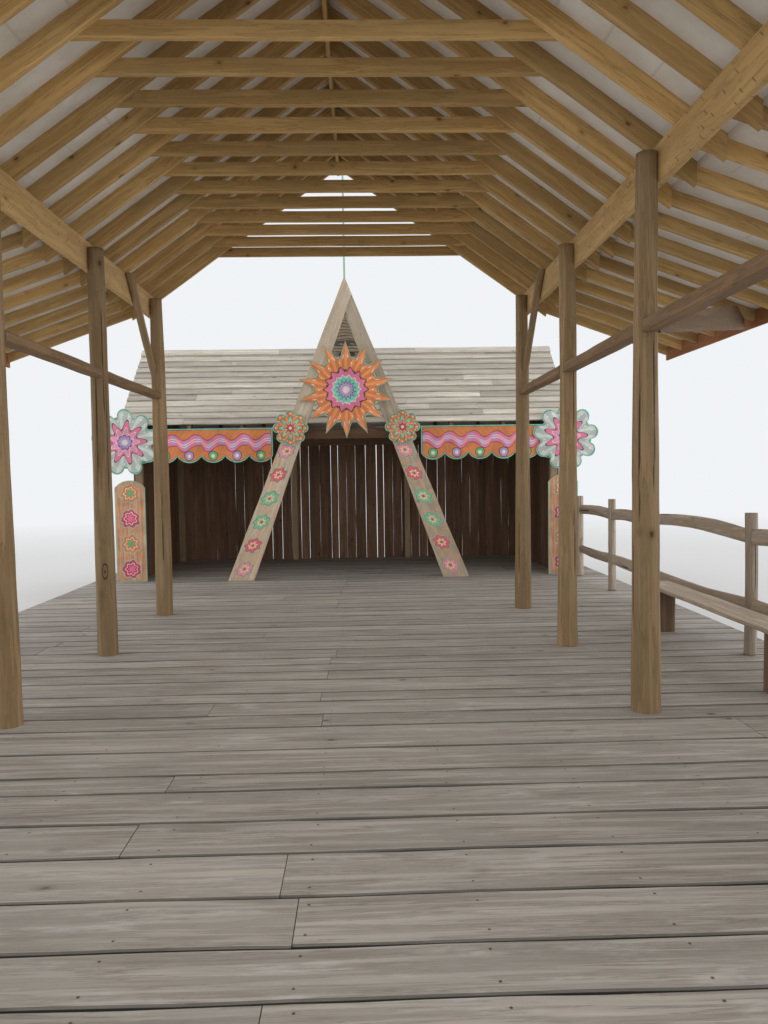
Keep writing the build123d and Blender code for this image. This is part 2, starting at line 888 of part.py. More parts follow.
# Write one file for each named piece
pieces = {
    "ground_bearers": ground_bearers,
    "floor_joists": floor_joists,
    "deck_floor": deck_floor,
    "posts_left": posts_left,
    "posts_right": posts_right,
    "plate_beam_left": plate_beam_left,
    "plate_beam_right": plate_beam_right,
    "side_rail_left": side_rail_left,
    "side_rail_right": side_rail_right,
    "knee_braces": knee_braces,
    "ridge_board": ridge_board,
    "rafters_left": rafters_left,
    "rafters_right": rafters_right,
    "collar_ties": collar_ties,
    "skirt_rafters_left": skirt_rafters_left,
    "skirt_rafters_right": skirt_rafters_right,
    "roof_left": roof_left,
    "roof_right": roof_right,
    "skirt_roof_left": skirt_roof_left,
    "skirt_roof_right": skirt_roof_right,
    "eave_fascia_left": eave_fascia_left,
    "eave_fascia_right": eave_fascia_right,
    "eave_strut": eave_strut,
    "stage_posts": stage_posts,
    "stage_beams": stage_beams,
    "stage_rafters_front": stage_rafters_front,
    "stage_rafters_back": stage_rafters_back,
    "stage_roof_front": stage_roof_front,
    "stage_roof_back": stage_roof_back,
    "stage_back_wall": stage_back_wall,
    "stage_wall_left": stage_wall_left,
    "stage_wall_right": stage_wall_right,
    "frame_leg_left": frame_leg_left,
    "frame_leg_right": frame_leg_right,
    "mast": mast,
    "cowl": cowl,
    "cowl_neck": cowl_neck,
    "painted_trim_left": painted_trim_left,
    "painted_trim_right": painted_trim_right,
    "end_roundels": end_roundels,
    "pillar_boards": pillar_boards,
    "sun_board": sun_board,
    "leg_rosettes": leg_rosettes,
    "fence_posts": fence_posts,
    "fence_rails": fence_rails,
    "bench_seat": bench_seat,
    "bench_blocks": bench_blocks,
}
os.makedirs("parts", exist_ok=True)
for name, piece in pieces.items():
    piece.part.label = name
    export_step(piece.part, f"parts/{name}.step")
    print(name, len(piece.part.solids()), "solids", round(piece.part.volume / 1e9, 4), "m3")
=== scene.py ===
# %% [markdown]
# # A timber bandstand, finished for its picture
# The construction comes as a fixed frame: log posts, beams, rafters, roof slopes, a deck
# and a boarded stage hut, each a plain solid at its real size. This lesson gives each of
# them the surface that the real one has. Boards and logs are the same few shapes over and
# over, so most of the work is done by a handful of numpy functions that make many boards
# at once, and by wood materials that read where each point lies along its own board.

# %% Load the frame
import math

import bpy
import numpy as np
from mathutils import Matrix, Vector


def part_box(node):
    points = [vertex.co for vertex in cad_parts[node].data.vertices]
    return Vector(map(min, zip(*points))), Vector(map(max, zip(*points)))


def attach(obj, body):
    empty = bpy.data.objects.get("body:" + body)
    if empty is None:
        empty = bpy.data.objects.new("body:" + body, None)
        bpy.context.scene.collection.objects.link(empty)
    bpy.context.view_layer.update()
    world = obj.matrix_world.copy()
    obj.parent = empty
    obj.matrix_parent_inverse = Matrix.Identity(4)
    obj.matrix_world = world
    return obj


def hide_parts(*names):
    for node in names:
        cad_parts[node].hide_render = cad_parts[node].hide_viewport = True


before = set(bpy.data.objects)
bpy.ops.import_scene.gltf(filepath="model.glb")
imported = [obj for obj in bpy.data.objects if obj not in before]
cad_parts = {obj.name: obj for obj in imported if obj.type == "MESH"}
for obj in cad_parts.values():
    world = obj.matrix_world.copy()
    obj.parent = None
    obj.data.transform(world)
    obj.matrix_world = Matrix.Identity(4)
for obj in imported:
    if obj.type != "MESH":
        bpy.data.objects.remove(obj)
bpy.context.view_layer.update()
sides = (("left", -1.0), ("right", 1.0))

# %% [markdown]
# ## The camera
# The picture is taken standing on the deck, a little right of the middle line, looking
# along the hall to the stage. Three small angles describe the camera: how far it looks
# down, how far it is turned to the right, and how far it is rolled. The camera's axes are
# built from them as three vectors, which is easier to follow than a stack of rotations.

# %% Camera
deck_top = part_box("deck_floor")[1].z
eye = np.array([0.23, -7.30, deck_top + 1.52])
pitch_down, yaw_right, roll = np.radians([2.83, 1.49, 0.86])
level = np.cos(pitch_down)
forward = np.array([np.sin(yaw_right) * level, np.cos(yaw_right) * level, -np.sin(pitch_down)])
level_right = np.array([np.cos(yaw_right), -np.sin(yaw_right), 0.0])
level_up = np.cross(level_right, forward)
axes = np.eye(4)
axes[:3, 0] = np.cos(roll) * level_right - np.sin(roll) * level_up
axes[:3, 1] = np.sin(roll) * level_right + np.cos(roll) * level_up
axes[:3, 2] = -forward
axes[:3, 3] = eye

camera_data = bpy.data.cameras.new("camera")
camera_data.sensor_width = 36
camera_data.lens = 27.04
camera_data.clip_start = 0.05
camera_data.clip_end = 200
camera = bpy.data.objects.new("camera", camera_data)
bpy.context.scene.collection.objects.link(camera)
camera.matrix_world = Matrix(axes.tolist())
bpy.context.scene.camera = camera
print("camera at", eye.round(2), "looking along", forward.round(3))

# %% [markdown]
# ## Many timbers as one mesh
# Every board, rafter and beam is a long rounded bar. One function makes a whole set of
# them: it lays a ring of eight points round each section, carries the ring along each
# bar, and joins rings with quads. Bevelled cubes would do for the shape, but a cube
# doesn't know which way its wood grew. Here each point keeps two facts for the materials:
# its place along, across and through its own bar, and a random number that is the same
# all over one bar. So the grain always runs along the wood, and no two boards look alike.

# %% From numbers to a mesh
seed = np.random.default_rng(20)


def at(x, y, z):
    """Places from numbers and arrays of numbers, which are stretched to one shape."""
    return np.stack(np.broadcast_arrays(x, y, z), -1).astype(float)


def put_mesh(name, points, faces, facts, smooth=False):
    """A new object from point places, a list of faces and named facts for each point. A
    fact is one number to a point, or three."""
    mesh = bpy.data.meshes.new(name)
    mesh.from_pydata(points.reshape(-1, 3).tolist(), [], faces)
    for label, values in facts.items():
        values = np.asarray(values, np.float32)
        one = values.size == len(mesh.vertices)
        layer = mesh.attributes.new(label, "FLOAT" if one else "FLOAT_VECTOR", "POINT")
        layer.data.foreach_set("value" if one else "vector", values.ravel())
    mesh.polygons.foreach_set("use_smooth", [smooth] * len(mesh.polygons))
    mesh.update()
    piece = bpy.data.objects.new(name, mesh)
    bpy.context.scene.collection.objects.link(piece)
    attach(piece, "root")
    return piece


def tube_faces(bars, stations, ring):
    """Quads that join each ring of points to the next one along every bar, and a
    many-sided face at each end of every bar."""
    bar, station, spot = np.meshgrid(
        np.arange(bars), np.arange(stations - 1), np.arange(ring), indexing="ij"
    )
    row = (bar * stations + station) * ring
    here, beside = row + spot, row + (spot + 1) % ring
    quads = np.stack([here, beside, beside + ring, here + ring], -1).reshape(-1, 4)
    first = np.arange(bars)[:, None] * stations * ring + np.arange(ring)
    last = first + (stations - 1) * ring
    return quads.tolist() + first[:, ::-1].tolist() + last.tolist()


# %% Slow waves
def waves(along, count, amount):
    """A slow random wobble for each bar: three sine waves of falling height, added up."""
    total = np.zeros(along.shape)
    for octave in range(3):
        pitch = seed.uniform(0.35, 0.8, (count, 1)) * 2 ** octave
        turn = seed.uniform(0, 2 * np.pi, (count, 1))
        total += np.sin(2 * np.pi * along * pitch + turn) / 2 ** octave
    return amount * total / 1.75


# %% Planks between two edges
def ruled(name, left, right, normal, depth, round_edge=0.003, lift=0.0, slide=0.0, along=None):
    """A set of planks, each between two long edges. A point of a plank is the middle of
    the two edges, plus across times half the way between them, plus through times the
    normal. The eight points of the ring are the corners of a rectangle with each corner
    cut by the edge rounding. lift raises the plank along the normal at each station, and
    slide moves a point along the plank in step with its place through the thickness."""
    count, stations = left.shape[:2]
    normal = np.broadcast_to(np.asarray(normal, float), (count, 3))
    turned = np.cross(right[:, 0] - left[:, 0], normal)
    inside_out = (np.sum(turned * (left[:, -1] - left[:, 0]), axis=1) < 0)[:, None, None]
    left, right = np.where(inside_out, right, left), np.where(inside_out, left, right)
    middle, half = (left + right) / 2, (right - left) / 2
    half_length = np.linalg.norm(half, axis=2)[:, :, None]
    run = middle[:, -1] - middle[:, 0]
    length = np.linalg.norm(run, axis=1)
    if along is None:
        along = np.linspace(0, 1, stations) * length[:, None]
    half_depth = np.broadcast_to(np.asarray(depth, float), (count,))[:, None, None] / 2
    across_sign = np.array([-1, 1, 1, 1, 1, -1, -1, -1.0])
    through_sign = np.array([-1, -1, -1, 1, 1, 1, 1, -1.0])
    flat_end = np.array([1, 1, 0, 0, 1, 1, 0, 0.0])
    across = across_sign * (half_length - round_edge * flat_end)
    through = through_sign * (half_depth - round_edge * (1 - flat_end))
    through = np.broadcast_to(through, (count, stations, 8)) + np.asarray(lift)[..., None]
    moved = through * np.broadcast_to(slide, (count, stations))[:, :, None]
    points = (
        middle[:, :, None]
        + across[..., None] * (half / half_length)[:, :, None]
        + through[..., None] * normal[:, None, None]
        + moved[..., None] * (run / length[:, None])[:, None, None]
    )
    tone = np.broadcast_to(seed.random(count)[:, None, None], (count, stations, 8))
    shift = seed.uniform(0, 40, (count, 1, 1))
    grain = at(along[:, :, None] + moved + shift, across + shift * 0.37, through + shift * 0.11)
    return put_mesh(name, points, tube_faces(count, stations, 8), {"grain": grain, "tone": tone})


# %% Straight timbers
def bars(name, start, end, across, width, depth, round_edge=0.003, stations=40, wavy=0.0,
         bow=0.0, cut_start=0.0, cut_end=0.0):
    """A set of straight timbers from start to end. Their long edges lie half the width to
    each side of the line between, along the across direction. wavy makes the two edges
    wander apart from each other, bow makes the timber rise and fall, and the two cuts
    slide the end rings along the timber, which gives plumb and level cuts."""
    start, end = np.atleast_2d(np.asarray(start, float)), np.atleast_2d(np.asarray(end, float))
    count = len(start)
    run = end - start
    length = np.linalg.norm(run, axis=1)[:, None]
    side = np.broadcast_to(np.asarray(across, float), (count, 3))
    share = np.linspace(0, 1, stations)
    line = start[:, None] + share[None, :, None] * run[:, None]
    along = share * length
    half = np.broadcast_to(np.asarray(width, float), (count,))[:, None] / 2
    low = waves(along, count, wavy) - half
    high = waves(along, count, wavy) + half
    lift = waves(along, count, bow)
    slide = (1 - share) * cut_start + share * cut_end
    return ruled(name, line + low[..., None] * side[:, None], line + high[..., None] * side[:, None],
                 np.cross(run / length, side), depth, round_edge, lift, slide, along)


# %% Thin boards
def slab(name, front, back, facing, facts, closed=False, smooth=False):
    """A thin board from two equal grids of points, joined by a strip round the edge. A
    closed grid is rings by angles: it meets itself, and has one many-sided face in its
    middle. facing is the way that the front looks."""
    rows, columns = front.shape[:2]
    behind = rows * columns
    index = np.arange(behind).reshape(rows, columns)
    if closed:
        index = np.concatenate([index, index[:, :1]], axis=1)
        outline = index[-1]
    else:
        outline = np.concatenate([index[0, :-1], index[:-1, -1], index[-1, :0:-1], index[::-1, 0]])[::-1]
    quad = np.stack([index[:-1, :-1], index[:-1, 1:], index[1:, 1:], index[1:, :-1]], -1).reshape(-1, 4)
    strip = np.stack([outline[:-1], outline[1:], outline[1:] + behind, outline[:-1] + behind], -1)
    faces = np.concatenate([quad, quad[:, ::-1] + behind, strip]).tolist()
    if closed:
        faces += [index[0, :0:-1].tolist(), (index[0, :-1] + behind).tolist()]
    facts = {label: np.stack([values, values]) for label, values in facts.items()}
    piece = put_mesh(name, np.stack([front, back]), faces, facts, smooth)
    if piece.data.polygons[0].normal.dot(Vector(facing)) < 0:
        piece.data.flip_normals()
    return piece


# %% Finishing a piece
def finish(piece, material, slot, *nodes):
    """Gives a piece its material and hides the nodes of the frame that it stands for. slot is not used."""
    piece.data.materials.append(material)
    if nodes:
        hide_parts(*nodes)
    print(piece.name, len(piece.data.polygons), "faces")


def recoat(node, material):
    """A node of the frame that keeps its shape gets a better material."""
    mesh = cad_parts[node].data
    mesh.materials.clear()
    mesh.materials.append(material)


# %% [markdown]
# ## Materials as sums
# A material is a tree of nodes. The helpers here let it be written as sums: an output of
# a node can be added, multiplied and compared, and each such sum adds its own node. Most
# looks are layers, where a cover from 0 to 1 says how much of the next colour shows.

# %% Outputs that can be added
tree = None


class Wire:
    """An output of a node. Square brackets give another output of the same node."""

    def __init__(self, socket):
        self.socket = socket

    def __getitem__(self, output):
        return Wire(self.socket.node.outputs[output])

    def math(self, operation, other=0.0):
        """One sum on this output, such as MULTIPLY or COSINE, as a node."""
        return step("Math", {"operation": operation}, i0=self, i1=other)

    def __add__(self, other):
        return self.math("ADD", other)

    def __sub__(self, other):
        return self.math("SUBTRACT", other)

    def __mul__(self, other):
        return self.math("MULTIPLY", other)

    def __truediv__(self, other):
        return self.math("DIVIDE", other)

    def __gt__(self, other):
        return self.math("GREATER_THAN", other)

    def __abs__(self):
        return self.math("ABSOLUTE")


# %% Nodes from words
def plug(socket, value):
    """Gives a socket the output of another node, a colour or a number."""
    if isinstance(value, Wire):
        tree.links.new(value.socket, socket)
    elif socket.type == "RGBA":
        socket.default_value = (*value, 1.0)
    else:
        socket.default_value = value


def step(kind, settings=None, **inputs):
    """Adds one node to the tree and gives its first output. An input is named with _ for
    a space, or by its place, such as i0."""
    node = tree.nodes.new("ShaderNode" + kind)
    for key, value in (settings or {}).items():
        setattr(node, key, value)
    for key, value in inputs.items():
        by_place = key[0] == "i" and key[1:].isdigit()
        plug(node.inputs[int(key[1:]) if by_place else key.replace("_", " ")], value)
    return Wire(node.outputs[0]) if len(node.outputs) else None


def start_material(name):
    """An empty material. Each step after this one goes into its tree."""
    global tree
    material = bpy.data.materials.new(name)
    material.use_nodes = True
    tree = material.node_tree
    tree.nodes.clear()
    return material


def surface(colour, rough, height=None, strength=0.0, distance=0.0, specular=0.5, metallic=0.0):
    """The end of a material: its colour, its roughness and the bump of a height."""
    inputs = {"Base_Color": colour, "Roughness": rough, "Metallic": metallic, "Specular_IOR_Level": specular}
    if height:
        inputs["Normal"] = step("Bump", Height=height, Strength=strength, Distance=distance)
    step("OutputMaterial", i0=step("BsdfPrincipled", **inputs))


# %% Places, facts and noise
def here():
    """The place of a point in its object."""
    return step("TexCoord")["Object"]


def fact(name, output="Fac"):
    """A fact that the points carry."""
    return step("Attribute", {"attribute_name": name})[output]


def noise(place, scale=1.0, detail=2.0, roughness=0.5, distortion=0.0, stretch=None):
    """A noise over a place, which can be stretched along its axes first."""
    if stretch:
        place = step("Mapping", i0=place, i3=stretch)
    return step("TexNoise", Vector=place, Scale=scale, Detail=detail, Roughness=roughness,
                Distortion=distortion)


# %% Colours in layers
def mix(factor, first, second, blend="MIX"):
    """Two colours mixed by a factor from 0 to 1."""
    return step("Mix", {"data_type": "RGBA", "blend_type": blend}, i0=factor, i6=first, i7=second)[2]


def layers(colour, *coats):
    """A colour with coats over it, each a cover from 0 to 1 and its own colour."""
    for cover, coat in coats:
        colour = mix(cover, colour, coat)
    return colour


def shaded(colour, level):
    """A colour made lighter or darker by a level around 1."""
    return mix(1.0, colour, step("CombineColor", i0=level, i1=level, i2=level), "MULTIPLY")


# %% Spans of a number
def fade(value, low, high, start=0.0, end=1.0):
    """A number taken from the span low to high into the span start to end, and held there."""
    return step("MapRange", {"clamp": True}, i0=value, i1=low, i2=high, i3=start, i4=end)


def under(value, low, high):
    """1 where the value is under low, falling to 0 at high."""
    return fade(value, low, high, 1.0, 0.0)


def within(value, low, high):
    """1 where the value lies between low and high, 0 elsewhere, with a short soft edge."""
    soft = 0.06 * (high - low)
    return fade(value, low, low + soft) * under(value, high - soft, high)


def dimmed(colour, share):
    """A colour as three numbers, each times the share."""
    return tuple(share * c for c in colour)


# %% [markdown]
# ## Wood
# All the wood here is the same recipe with other numbers. Long thin streaks come from a
# noise that is stretched along the grain. Knots are the cells of a Voronoi pattern, kept
# only here and there. A slower noise adds stains and weathering, and the random number
# of each bar makes it lighter or darker than its neighbours. A plainer noise along the
# same streaks drives the bump, so light catches ridges that the eye reads as grain. An
# image of wood could do this too, but it would need unwrapping, and boards would repeat.

# %% The wood recipe
def wood(name, pale, dark, stain, streak=26.0, knots=0.12, knot_scale=7.0, weather=0.35,
         contrast=0.5, tone_spread=0.25, bump=0.25, edges=0.0, turned=None, strokes=False,
         scuffs=0.0, scars=False, painting=None):
    """Boards and timbers. pale and dark are the two ends of the grain, stain is the
    weathering over them, streak the number of grain lines to a metre across, and
    tone_spread how far one board differs from the next. edges is how much darker the
    faces that don't look up are made, partly dirt and partly painted shade in the seams,
    strokes adds the short slanted scars of a peeling iron, scuffs the pale wear of feet,
    scars the cracks and branch scars of a log, and painting is a function that paints
    over the colour. turned is for a fixed solid, which carries no grain of its own: the
    angles that turn its grain to the X axis."""
    material = start_material(name)
    if turned:
        grain, tone = step("Mapping", {"vector_type": "TEXTURE"}, i0=here(), i2=turned), 0.5
    else:
        grain, tone = fact("grain", "Vector"), fact("tone")
    long = step("Mapping", i0=grain, i3=(1.3, streak, streak))
    fine = noise(long, detail=5.0, roughness=0.62, distortion=0.35)
    broad = noise(grain, detail=3.0, roughness=0.55, stretch=(0.5, 7.0, 7.0))
    stains = noise(grain, 1.6, 4.0, 0.6, stretch=(1.1, 2.6, 2.6))
    lines = fine * 0.65 + broad * 0.35
    depth = fade(lines, 0.5 - 0.17 / (contrast + 0.5), 0.5 + 0.15 / (contrast + 0.5))
    colour = layers(
        mix(depth, dark, pale),
        (fade(abs(fine - 0.5), 0.004, 0.026, 0.55, 0.0), dimmed(dark, 0.62)),
        (fade(stains, 0.38, 0.72, 0.0, weather), stain),
    )
    if knots:
        knot_map = step("Mapping", i0=grain, i3=(knot_scale, knot_scale * 1.7, knot_scale * 1.7))
        cells = step("TexVoronoi", {"feature": "F1"}, Vector=knot_map, Scale=1.0, Randomness=1.0)
        near = cells["Distance"] + noise(knot_map, 5.0) * 0.12
        chosen = step("SeparateColor", Color=cells["Color"]) > 1 - knots
        colour = layers(
            colour,
            (fade(near, 0.14, 0.36, 0.6, 0.0) * chosen, dimmed(dark, 0.72)),
            (fade(near, 0.14, 0.19, 0.9, 0.0) * chosen, dimmed(dark, 0.38)),
        )
    colour = shaded(colour, fade(tone, 0.0, 1.0, 1 - tone_spread, 1 + tone_spread))
    if strokes:
        leaning = step("Mapping", i0=grain, i2=(0.0, 0.85, 0.0), i3=(14.0, 13.0, 13.0))
        marks = step("TexVoronoi", {"feature": "F1", "distance": "CHEBYCHEV"}, Vector=leaning,
                     Scale=1.0, Randomness=0.9)
        sideways = step("SeparateXYZ", i0=leaning) - step("SeparateXYZ", i0=marks["Position"])
        struck = step("SeparateColor", Color=marks["Color"])[1]
        scar = under(abs(sideways), 0.01, 0.07) * under(marks["Distance"], 0.32, 0.40)
        colour = mix(scar * fade(struck, 0.4, 0.75), colour, dimmed(dark, 0.4))
    if scuffs:
        wear = noise(grain, detail=5.0, roughness=0.7, stretch=(2.2, 14.0, 14.0))
        worn = fade(wear, 0.54, 0.68, 0.0, scuffs) * fade(stains, 0.42, 0.58)
        colour = mix(worn, colour, (0.62, 0.59, 0.56))
    if scars:
        crack, branch = fact("crack"), fact("branch")
        colour = layers(
            colour,
            (fade(branch, 0.1, 0.4, 0.0, 0.45), dark),
            (within(branch, 0.5, 0.66), dimmed(dark, 0.35)),
            (fade(branch, 0.88, 0.94, 0.0, 0.85), dimmed(dark, 0.3)),
            (fade(crack, 0.12, 0.45, 0.0, 0.9), dimmed(dark, 0.25)),
        )
    # Faces that don't look up are made darker: partly dirt, partly painted shade in the seams and on the
    # sides.
    if edges:
        facing = step("SeparateXYZ", i0=step("NewGeometry")["Normal"])[2]
        colour = mix(fade(facing, 0.6, 0.97, edges, 0.0), colour, dimmed(dark, 0.22))
    if painting:
        colour = painting(colour)
    surface(colour, fade(lines, 0.3, 0.7, 0.82, 0.66), noise(long, roughness=0.62), bump, 0.006, 0.25)
    return material


# %% Woods of the floor
# edges darkens the sides of the deck boards: dirt and painted shade in the seams.
deck_wood = wood("weathered_deck", (0.47, 0.43, 0.375), (0.22, 0.195, 0.165), (0.36, 0.335, 0.30),
                 streak=34, knots=0.05, knot_scale=5.0, weather=0.7, contrast=0.8, tone_spread=0.12,
                 bump=0.5, edges=0.95, scuffs=0.55)
under_wood = wood("floor_timber", (0.34, 0.28, 0.22), (0.18, 0.14, 0.10), (0.26, 0.22, 0.18),
                  weather=0.6)
print("materials", len(bpy.data.materials))

# %% [markdown]
# ## The deck
# The deck is laid with rough sawn boards of uneven width, straight across the hall, with
# a joint somewhere along each row. An array of one board would show at once as copies.
# The seams nearest to the camera are known from the picture, so their distances are
# listed, and the rest are drawn at random between the same limits.

# %% Deck boards
deck_low, deck_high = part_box("deck_floor")
seen_seams = eye[1] + np.array([2.16, 2.42, 2.72, 3.04, 3.34, 3.67, 3.88, 4.22, 4.60, 4.84, 5.12,
                                5.33, 5.67])
before = seen_seams[0] - np.cumsum(seed.uniform(0.24, 0.34, 12))[::-1]
after = seen_seams[-1] + np.cumsum(seed.uniform(0.21, 0.34, 60))
seams = np.concatenate([before, seen_seams, after])
narrowest = 0.09
seams = seams[(seams > deck_low.y + narrowest) & (seams < deck_high.y - narrowest)]
seams = np.concatenate([[deck_low.y], seams, [deck_high.y]])
board_gap, half_joint = 0.011, 0.0015
middle = (seams[:-1] + seams[1:]) / 2
board_width = np.diff(seams) - board_gap
rows = len(middle)
joint_places, joint_shares = np.array([-0.06, -0.75, 2.45, -2.62]), [0.42, 0.13, 0.22, 0.23]
kind = seed.choice(4, rows, p=joint_shares)
joint = joint_places[kind] + seed.uniform(-0.04, 0.04, rows)
deck_z = (deck_low.z + deck_high.z) / 2
starts, ends = (
    np.concatenate([at(left, middle, deck_z), at(right, middle, deck_z)])
    for left, right in ((-deck_high.x, joint + half_joint), (joint - half_joint, deck_high.x))
)
deck = bars("deck_boards", starts, ends, (0, 1, 0), np.tile(board_width, 2),
            deck_high.z - deck_low.z - 0.003, round_edge=0.006, wavy=0.005, bow=0.0012)
finish(deck, deck_wood, "deck_timber", "deck_floor")

# %% Deck screws
joist_low, joist_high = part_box("floor_joists")
joist_width = 0.05
joist_x = np.linspace(joist_low.x + joist_width / 2, joist_high.x - joist_width / 2, 13)
off_middle = 0.32 * board_width
x, y = (grid.ravel() for grid in np.meshgrid(
    joist_x, np.concatenate([middle - off_middle, middle + off_middle])))
x = x + seed.uniform(-0.012, 0.012, x.size)
y = y + seed.uniform(-0.008, 0.008, y.size)
ring, head_radius, head_rise = 8, 0.0055, 0.0008
angle = np.arange(ring) / ring * 2 * np.pi
head_x, head_y = (np.append(turned, 0.0) * head_radius for turned in (np.cos(angle), np.sin(angle)))
head_z = deck_high.z - 0.0002 + np.append(np.zeros(ring), head_rise)
points = at(x[:, None] + head_x, y[:, None] + head_y, head_z)
first = np.arange(x.size)[:, None] * (ring + 1)
spot = np.arange(ring)[None, :]
faces = np.stack([first + spot, first + (spot + 1) % ring, first + ring + 0 * spot], -1).reshape(-1, 3)
screws = put_mesh("deck_screws", points, faces.tolist() + (first + spot[:, ::-1]).tolist(), {})
screw_steel = start_material("screw_steel")
rust = fade(noise(here(), 9.0, 3.0), 0.4, 0.6)
surface(mix(rust, (0.10, 0.09, 0.085), (0.17, 0.10, 0.06)), 0.55, metallic=0.5)
finish(screws, screw_steel, "deck_timber")

# %% [markdown]
# ## Beams, rafters and collars
# The hall is framed like any raftered roof. Two deep plate beams run along the heads of
# the posts, and the rafters lean from them to the ridge board. The ends of rafters are
# cut plumb. A boolean could cut them, at the price of many faces, so here the cut is one
# number: how far a point slides along the rafter for each step through its depth. Each
# rafter pair is held by a collar, cut to the roof slope.

# %% Sizes of the hall frame
pitch, pairs = 0.4, 21
rafter_width, rafter_depth, skirt_depth, ridge_face = 0.047, 0.125, 0.1, 0.016
main_slope, skirt_slope = 0.712, 0.35
collar_low, collar_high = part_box("collar_ties")
rafter_low, rafter_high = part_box("rafters_right")
rafter_rows = rafter_low.y + rafter_width / 2 + pitch * np.arange(pairs)
tail_x = rafter_high.x
upright_depth = rafter_depth * math.hypot(1, main_slope)
roof_y0, roof_y1 = (corner.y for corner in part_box("roof_right"))


def rafter_top(x):
    """Height of the rafters' upper edge at a distance x from the middle line. The lower
    edge, one upright depth down, meets the collars' underside at their ends."""
    collar_half = 1.36
    return collar_low.z - main_slope * (x - collar_half) + upright_depth


def skirt_top(x):
    """Height of the lower rafters' upper edge, which starts level with the tails."""
    return rafter_top(tail_x) - skirt_slope * (x - tail_x)


softwood = wood("planed_softwood", (0.66, 0.44, 0.185), (0.39, 0.23, 0.08), (0.37, 0.26, 0.12),
                streak=24, knots=0.25, knot_scale=6.0, weather=0.6, tone_spread=0.2)
beam_wood = wood("beam_timber", (0.64, 0.43, 0.19), (0.43, 0.27, 0.105), (0.46, 0.32, 0.155),
                 streak=18, knots=0.1, knot_scale=5.0, weather=0.5, contrast=0.4, tone_spread=0.05,
                 strokes=True)
print("rafters meet at", round(rafter_top(0.0), 3), "and end at", round(tail_x, 3))

# %% Rafters and collars
for side_name, side in sides:
    skirt_low, skirt_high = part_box("skirt_rafters_" + side_name)
    skirt_x = sorted((abs(skirt_low.x), abs(skirt_high.x)))
    for part, reach, top, first_y, depth, slope, stations in (
        ("rafters_", (ridge_face, tail_x), rafter_top, rafter_low.y, rafter_depth, main_slope, 24),
        ("skirt_rafters_", skirt_x, skirt_top, skirt_low.y, skirt_depth, skirt_slope, 18),
    ):
        half_drop = depth * math.hypot(1, slope) / 2
        rows = first_y + rafter_width / 2 + pitch * np.arange(pairs)
        near, far = (at(side * x, rows, top(x) - half_drop) for x in reach)
        rafters = bars(part + "dressed_" + side_name, near, far, (0, side, 0), rafter_width, depth,
                       stations=stations, wavy=0.0008, bow=0.002, cut_start=-slope, cut_end=-slope)
        finish(rafters, softwood, "sawn_timber", part + side_name)

collar_depth, collar_width = collar_high.z - collar_low.z, 0.045
collar_rows = collar_low.y + collar_width / 2 + pitch * np.arange(pairs)
collar_mean = collar_high.x - collar_depth / main_slope / 2
collar_z = (collar_low.z + collar_high.z) / 2
collars = bars("collars_dressed", at(-collar_mean, collar_rows, collar_z),
               at(collar_mean, collar_rows, collar_z), (0, 1, 0), collar_width, collar_depth,
               stations=24, wavy=0.0008, bow=0.0015, cut_start=1 / main_slope, cut_end=-1 / main_slope)
finish(collars, softwood, "sawn_timber", "collar_ties")


def along_box(name, node, material, slot, across=0, parts=1, gap=0.0, less=(0.0, 0.0), **looks):
    """Timbers end to end along Y that fill the box of a CAD node. across is the axis of
    their width, gap is left at each end, and less is taken off the width and depth."""
    low, high = np.array(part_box(node), float)
    middle, size = (low + high) / 2, high - low
    cuts = np.linspace(low[1], high[1], parts + 1)
    starts, ends = (at(middle[0], y, middle[2]) for y in (cuts[:-1] + gap, cuts[1:] - gap))
    timber = bars(name, starts, ends, np.eye(3)[across], size[across] - less[0],
                  size[2 - across] - less[1], **looks)
    finish(timber, material, slot, node)


along_box("ridge_board_dressed", "ridge_board", softwood, "sawn_timber", stations=60, bow=0.001)
for side_name, side in sides:
    along_box("plate_beam_dressed_" + side_name, "plate_beam_" + side_name, beam_wood, "beam_timber",
              stations=90, wavy=0.001, bow=0.0015, round_edge=0.004)

# %% Side rails
first_post, bay, post_line, post_face = -6.29, 1.88, 2.0, 0.064
post_rows = first_post + bay * np.arange(5)
rail_wood = wood("rail_timber", (0.27, 0.165, 0.085), (0.13, 0.075, 0.038), (0.19, 0.125, 0.07),
                 streak=16, knots=0.08, knot_scale=5.5, weather=0.6, tone_spread=0.1, bump=0.4)
for (side_name, side), corner in zip(sides, (0.016, 0.008)):
    low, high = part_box("side_rail_" + side_name)
    middle_x, middle_z = (low.x + high.x) / 2, (low.z + high.z) / 2
    from_y = np.append(post_rows[:-1] + post_face, post_rows[-1] - post_face)
    to_y = np.append(post_rows[1:] - post_face, high.y)
    rails = bars("side_rail_dressed_" + side_name, at(middle_x, from_y, middle_z),
                 at(middle_x, to_y, middle_z), (1, 0, 0), np.array([0.1] * 4 + [0.06]),
                 np.array([0.08] * 4 + [0.05]), round_edge=corner, wavy=0.004, bow=0.003)
    finish(rails, rail_wood, "rail_timber", "side_rail_" + side_name)

# %% [markdown]
# ## Log posts
# The posts are peeled trunks. Each one is a tube whose radius shrinks a little to the
# head, swells where a branch was cut away, and is pressed in along a few long drying
# cracks. The middle line bends slowly. A cylinder with a displacement would swell just
# anywhere, while these sums put a scar where a branch was and run a crack along the
# fibres. At the head the outer side is cut flat, because the plate beam is housed there.

# %% The wood of the logs
log_wood = wood("peeled_log", (0.37, 0.25, 0.13), (0.165, 0.105, 0.05), (0.25, 0.178, 0.10), streak=30,
                knots=0.08, knot_scale=5.0, weather=0.7, contrast=0.6, tone_spread=0.12, bump=0.5, scars=True)


def turned_by(angle):
    """An angle brought into the span from minus pi to pi."""
    return np.angle(np.exp(1j * angle))


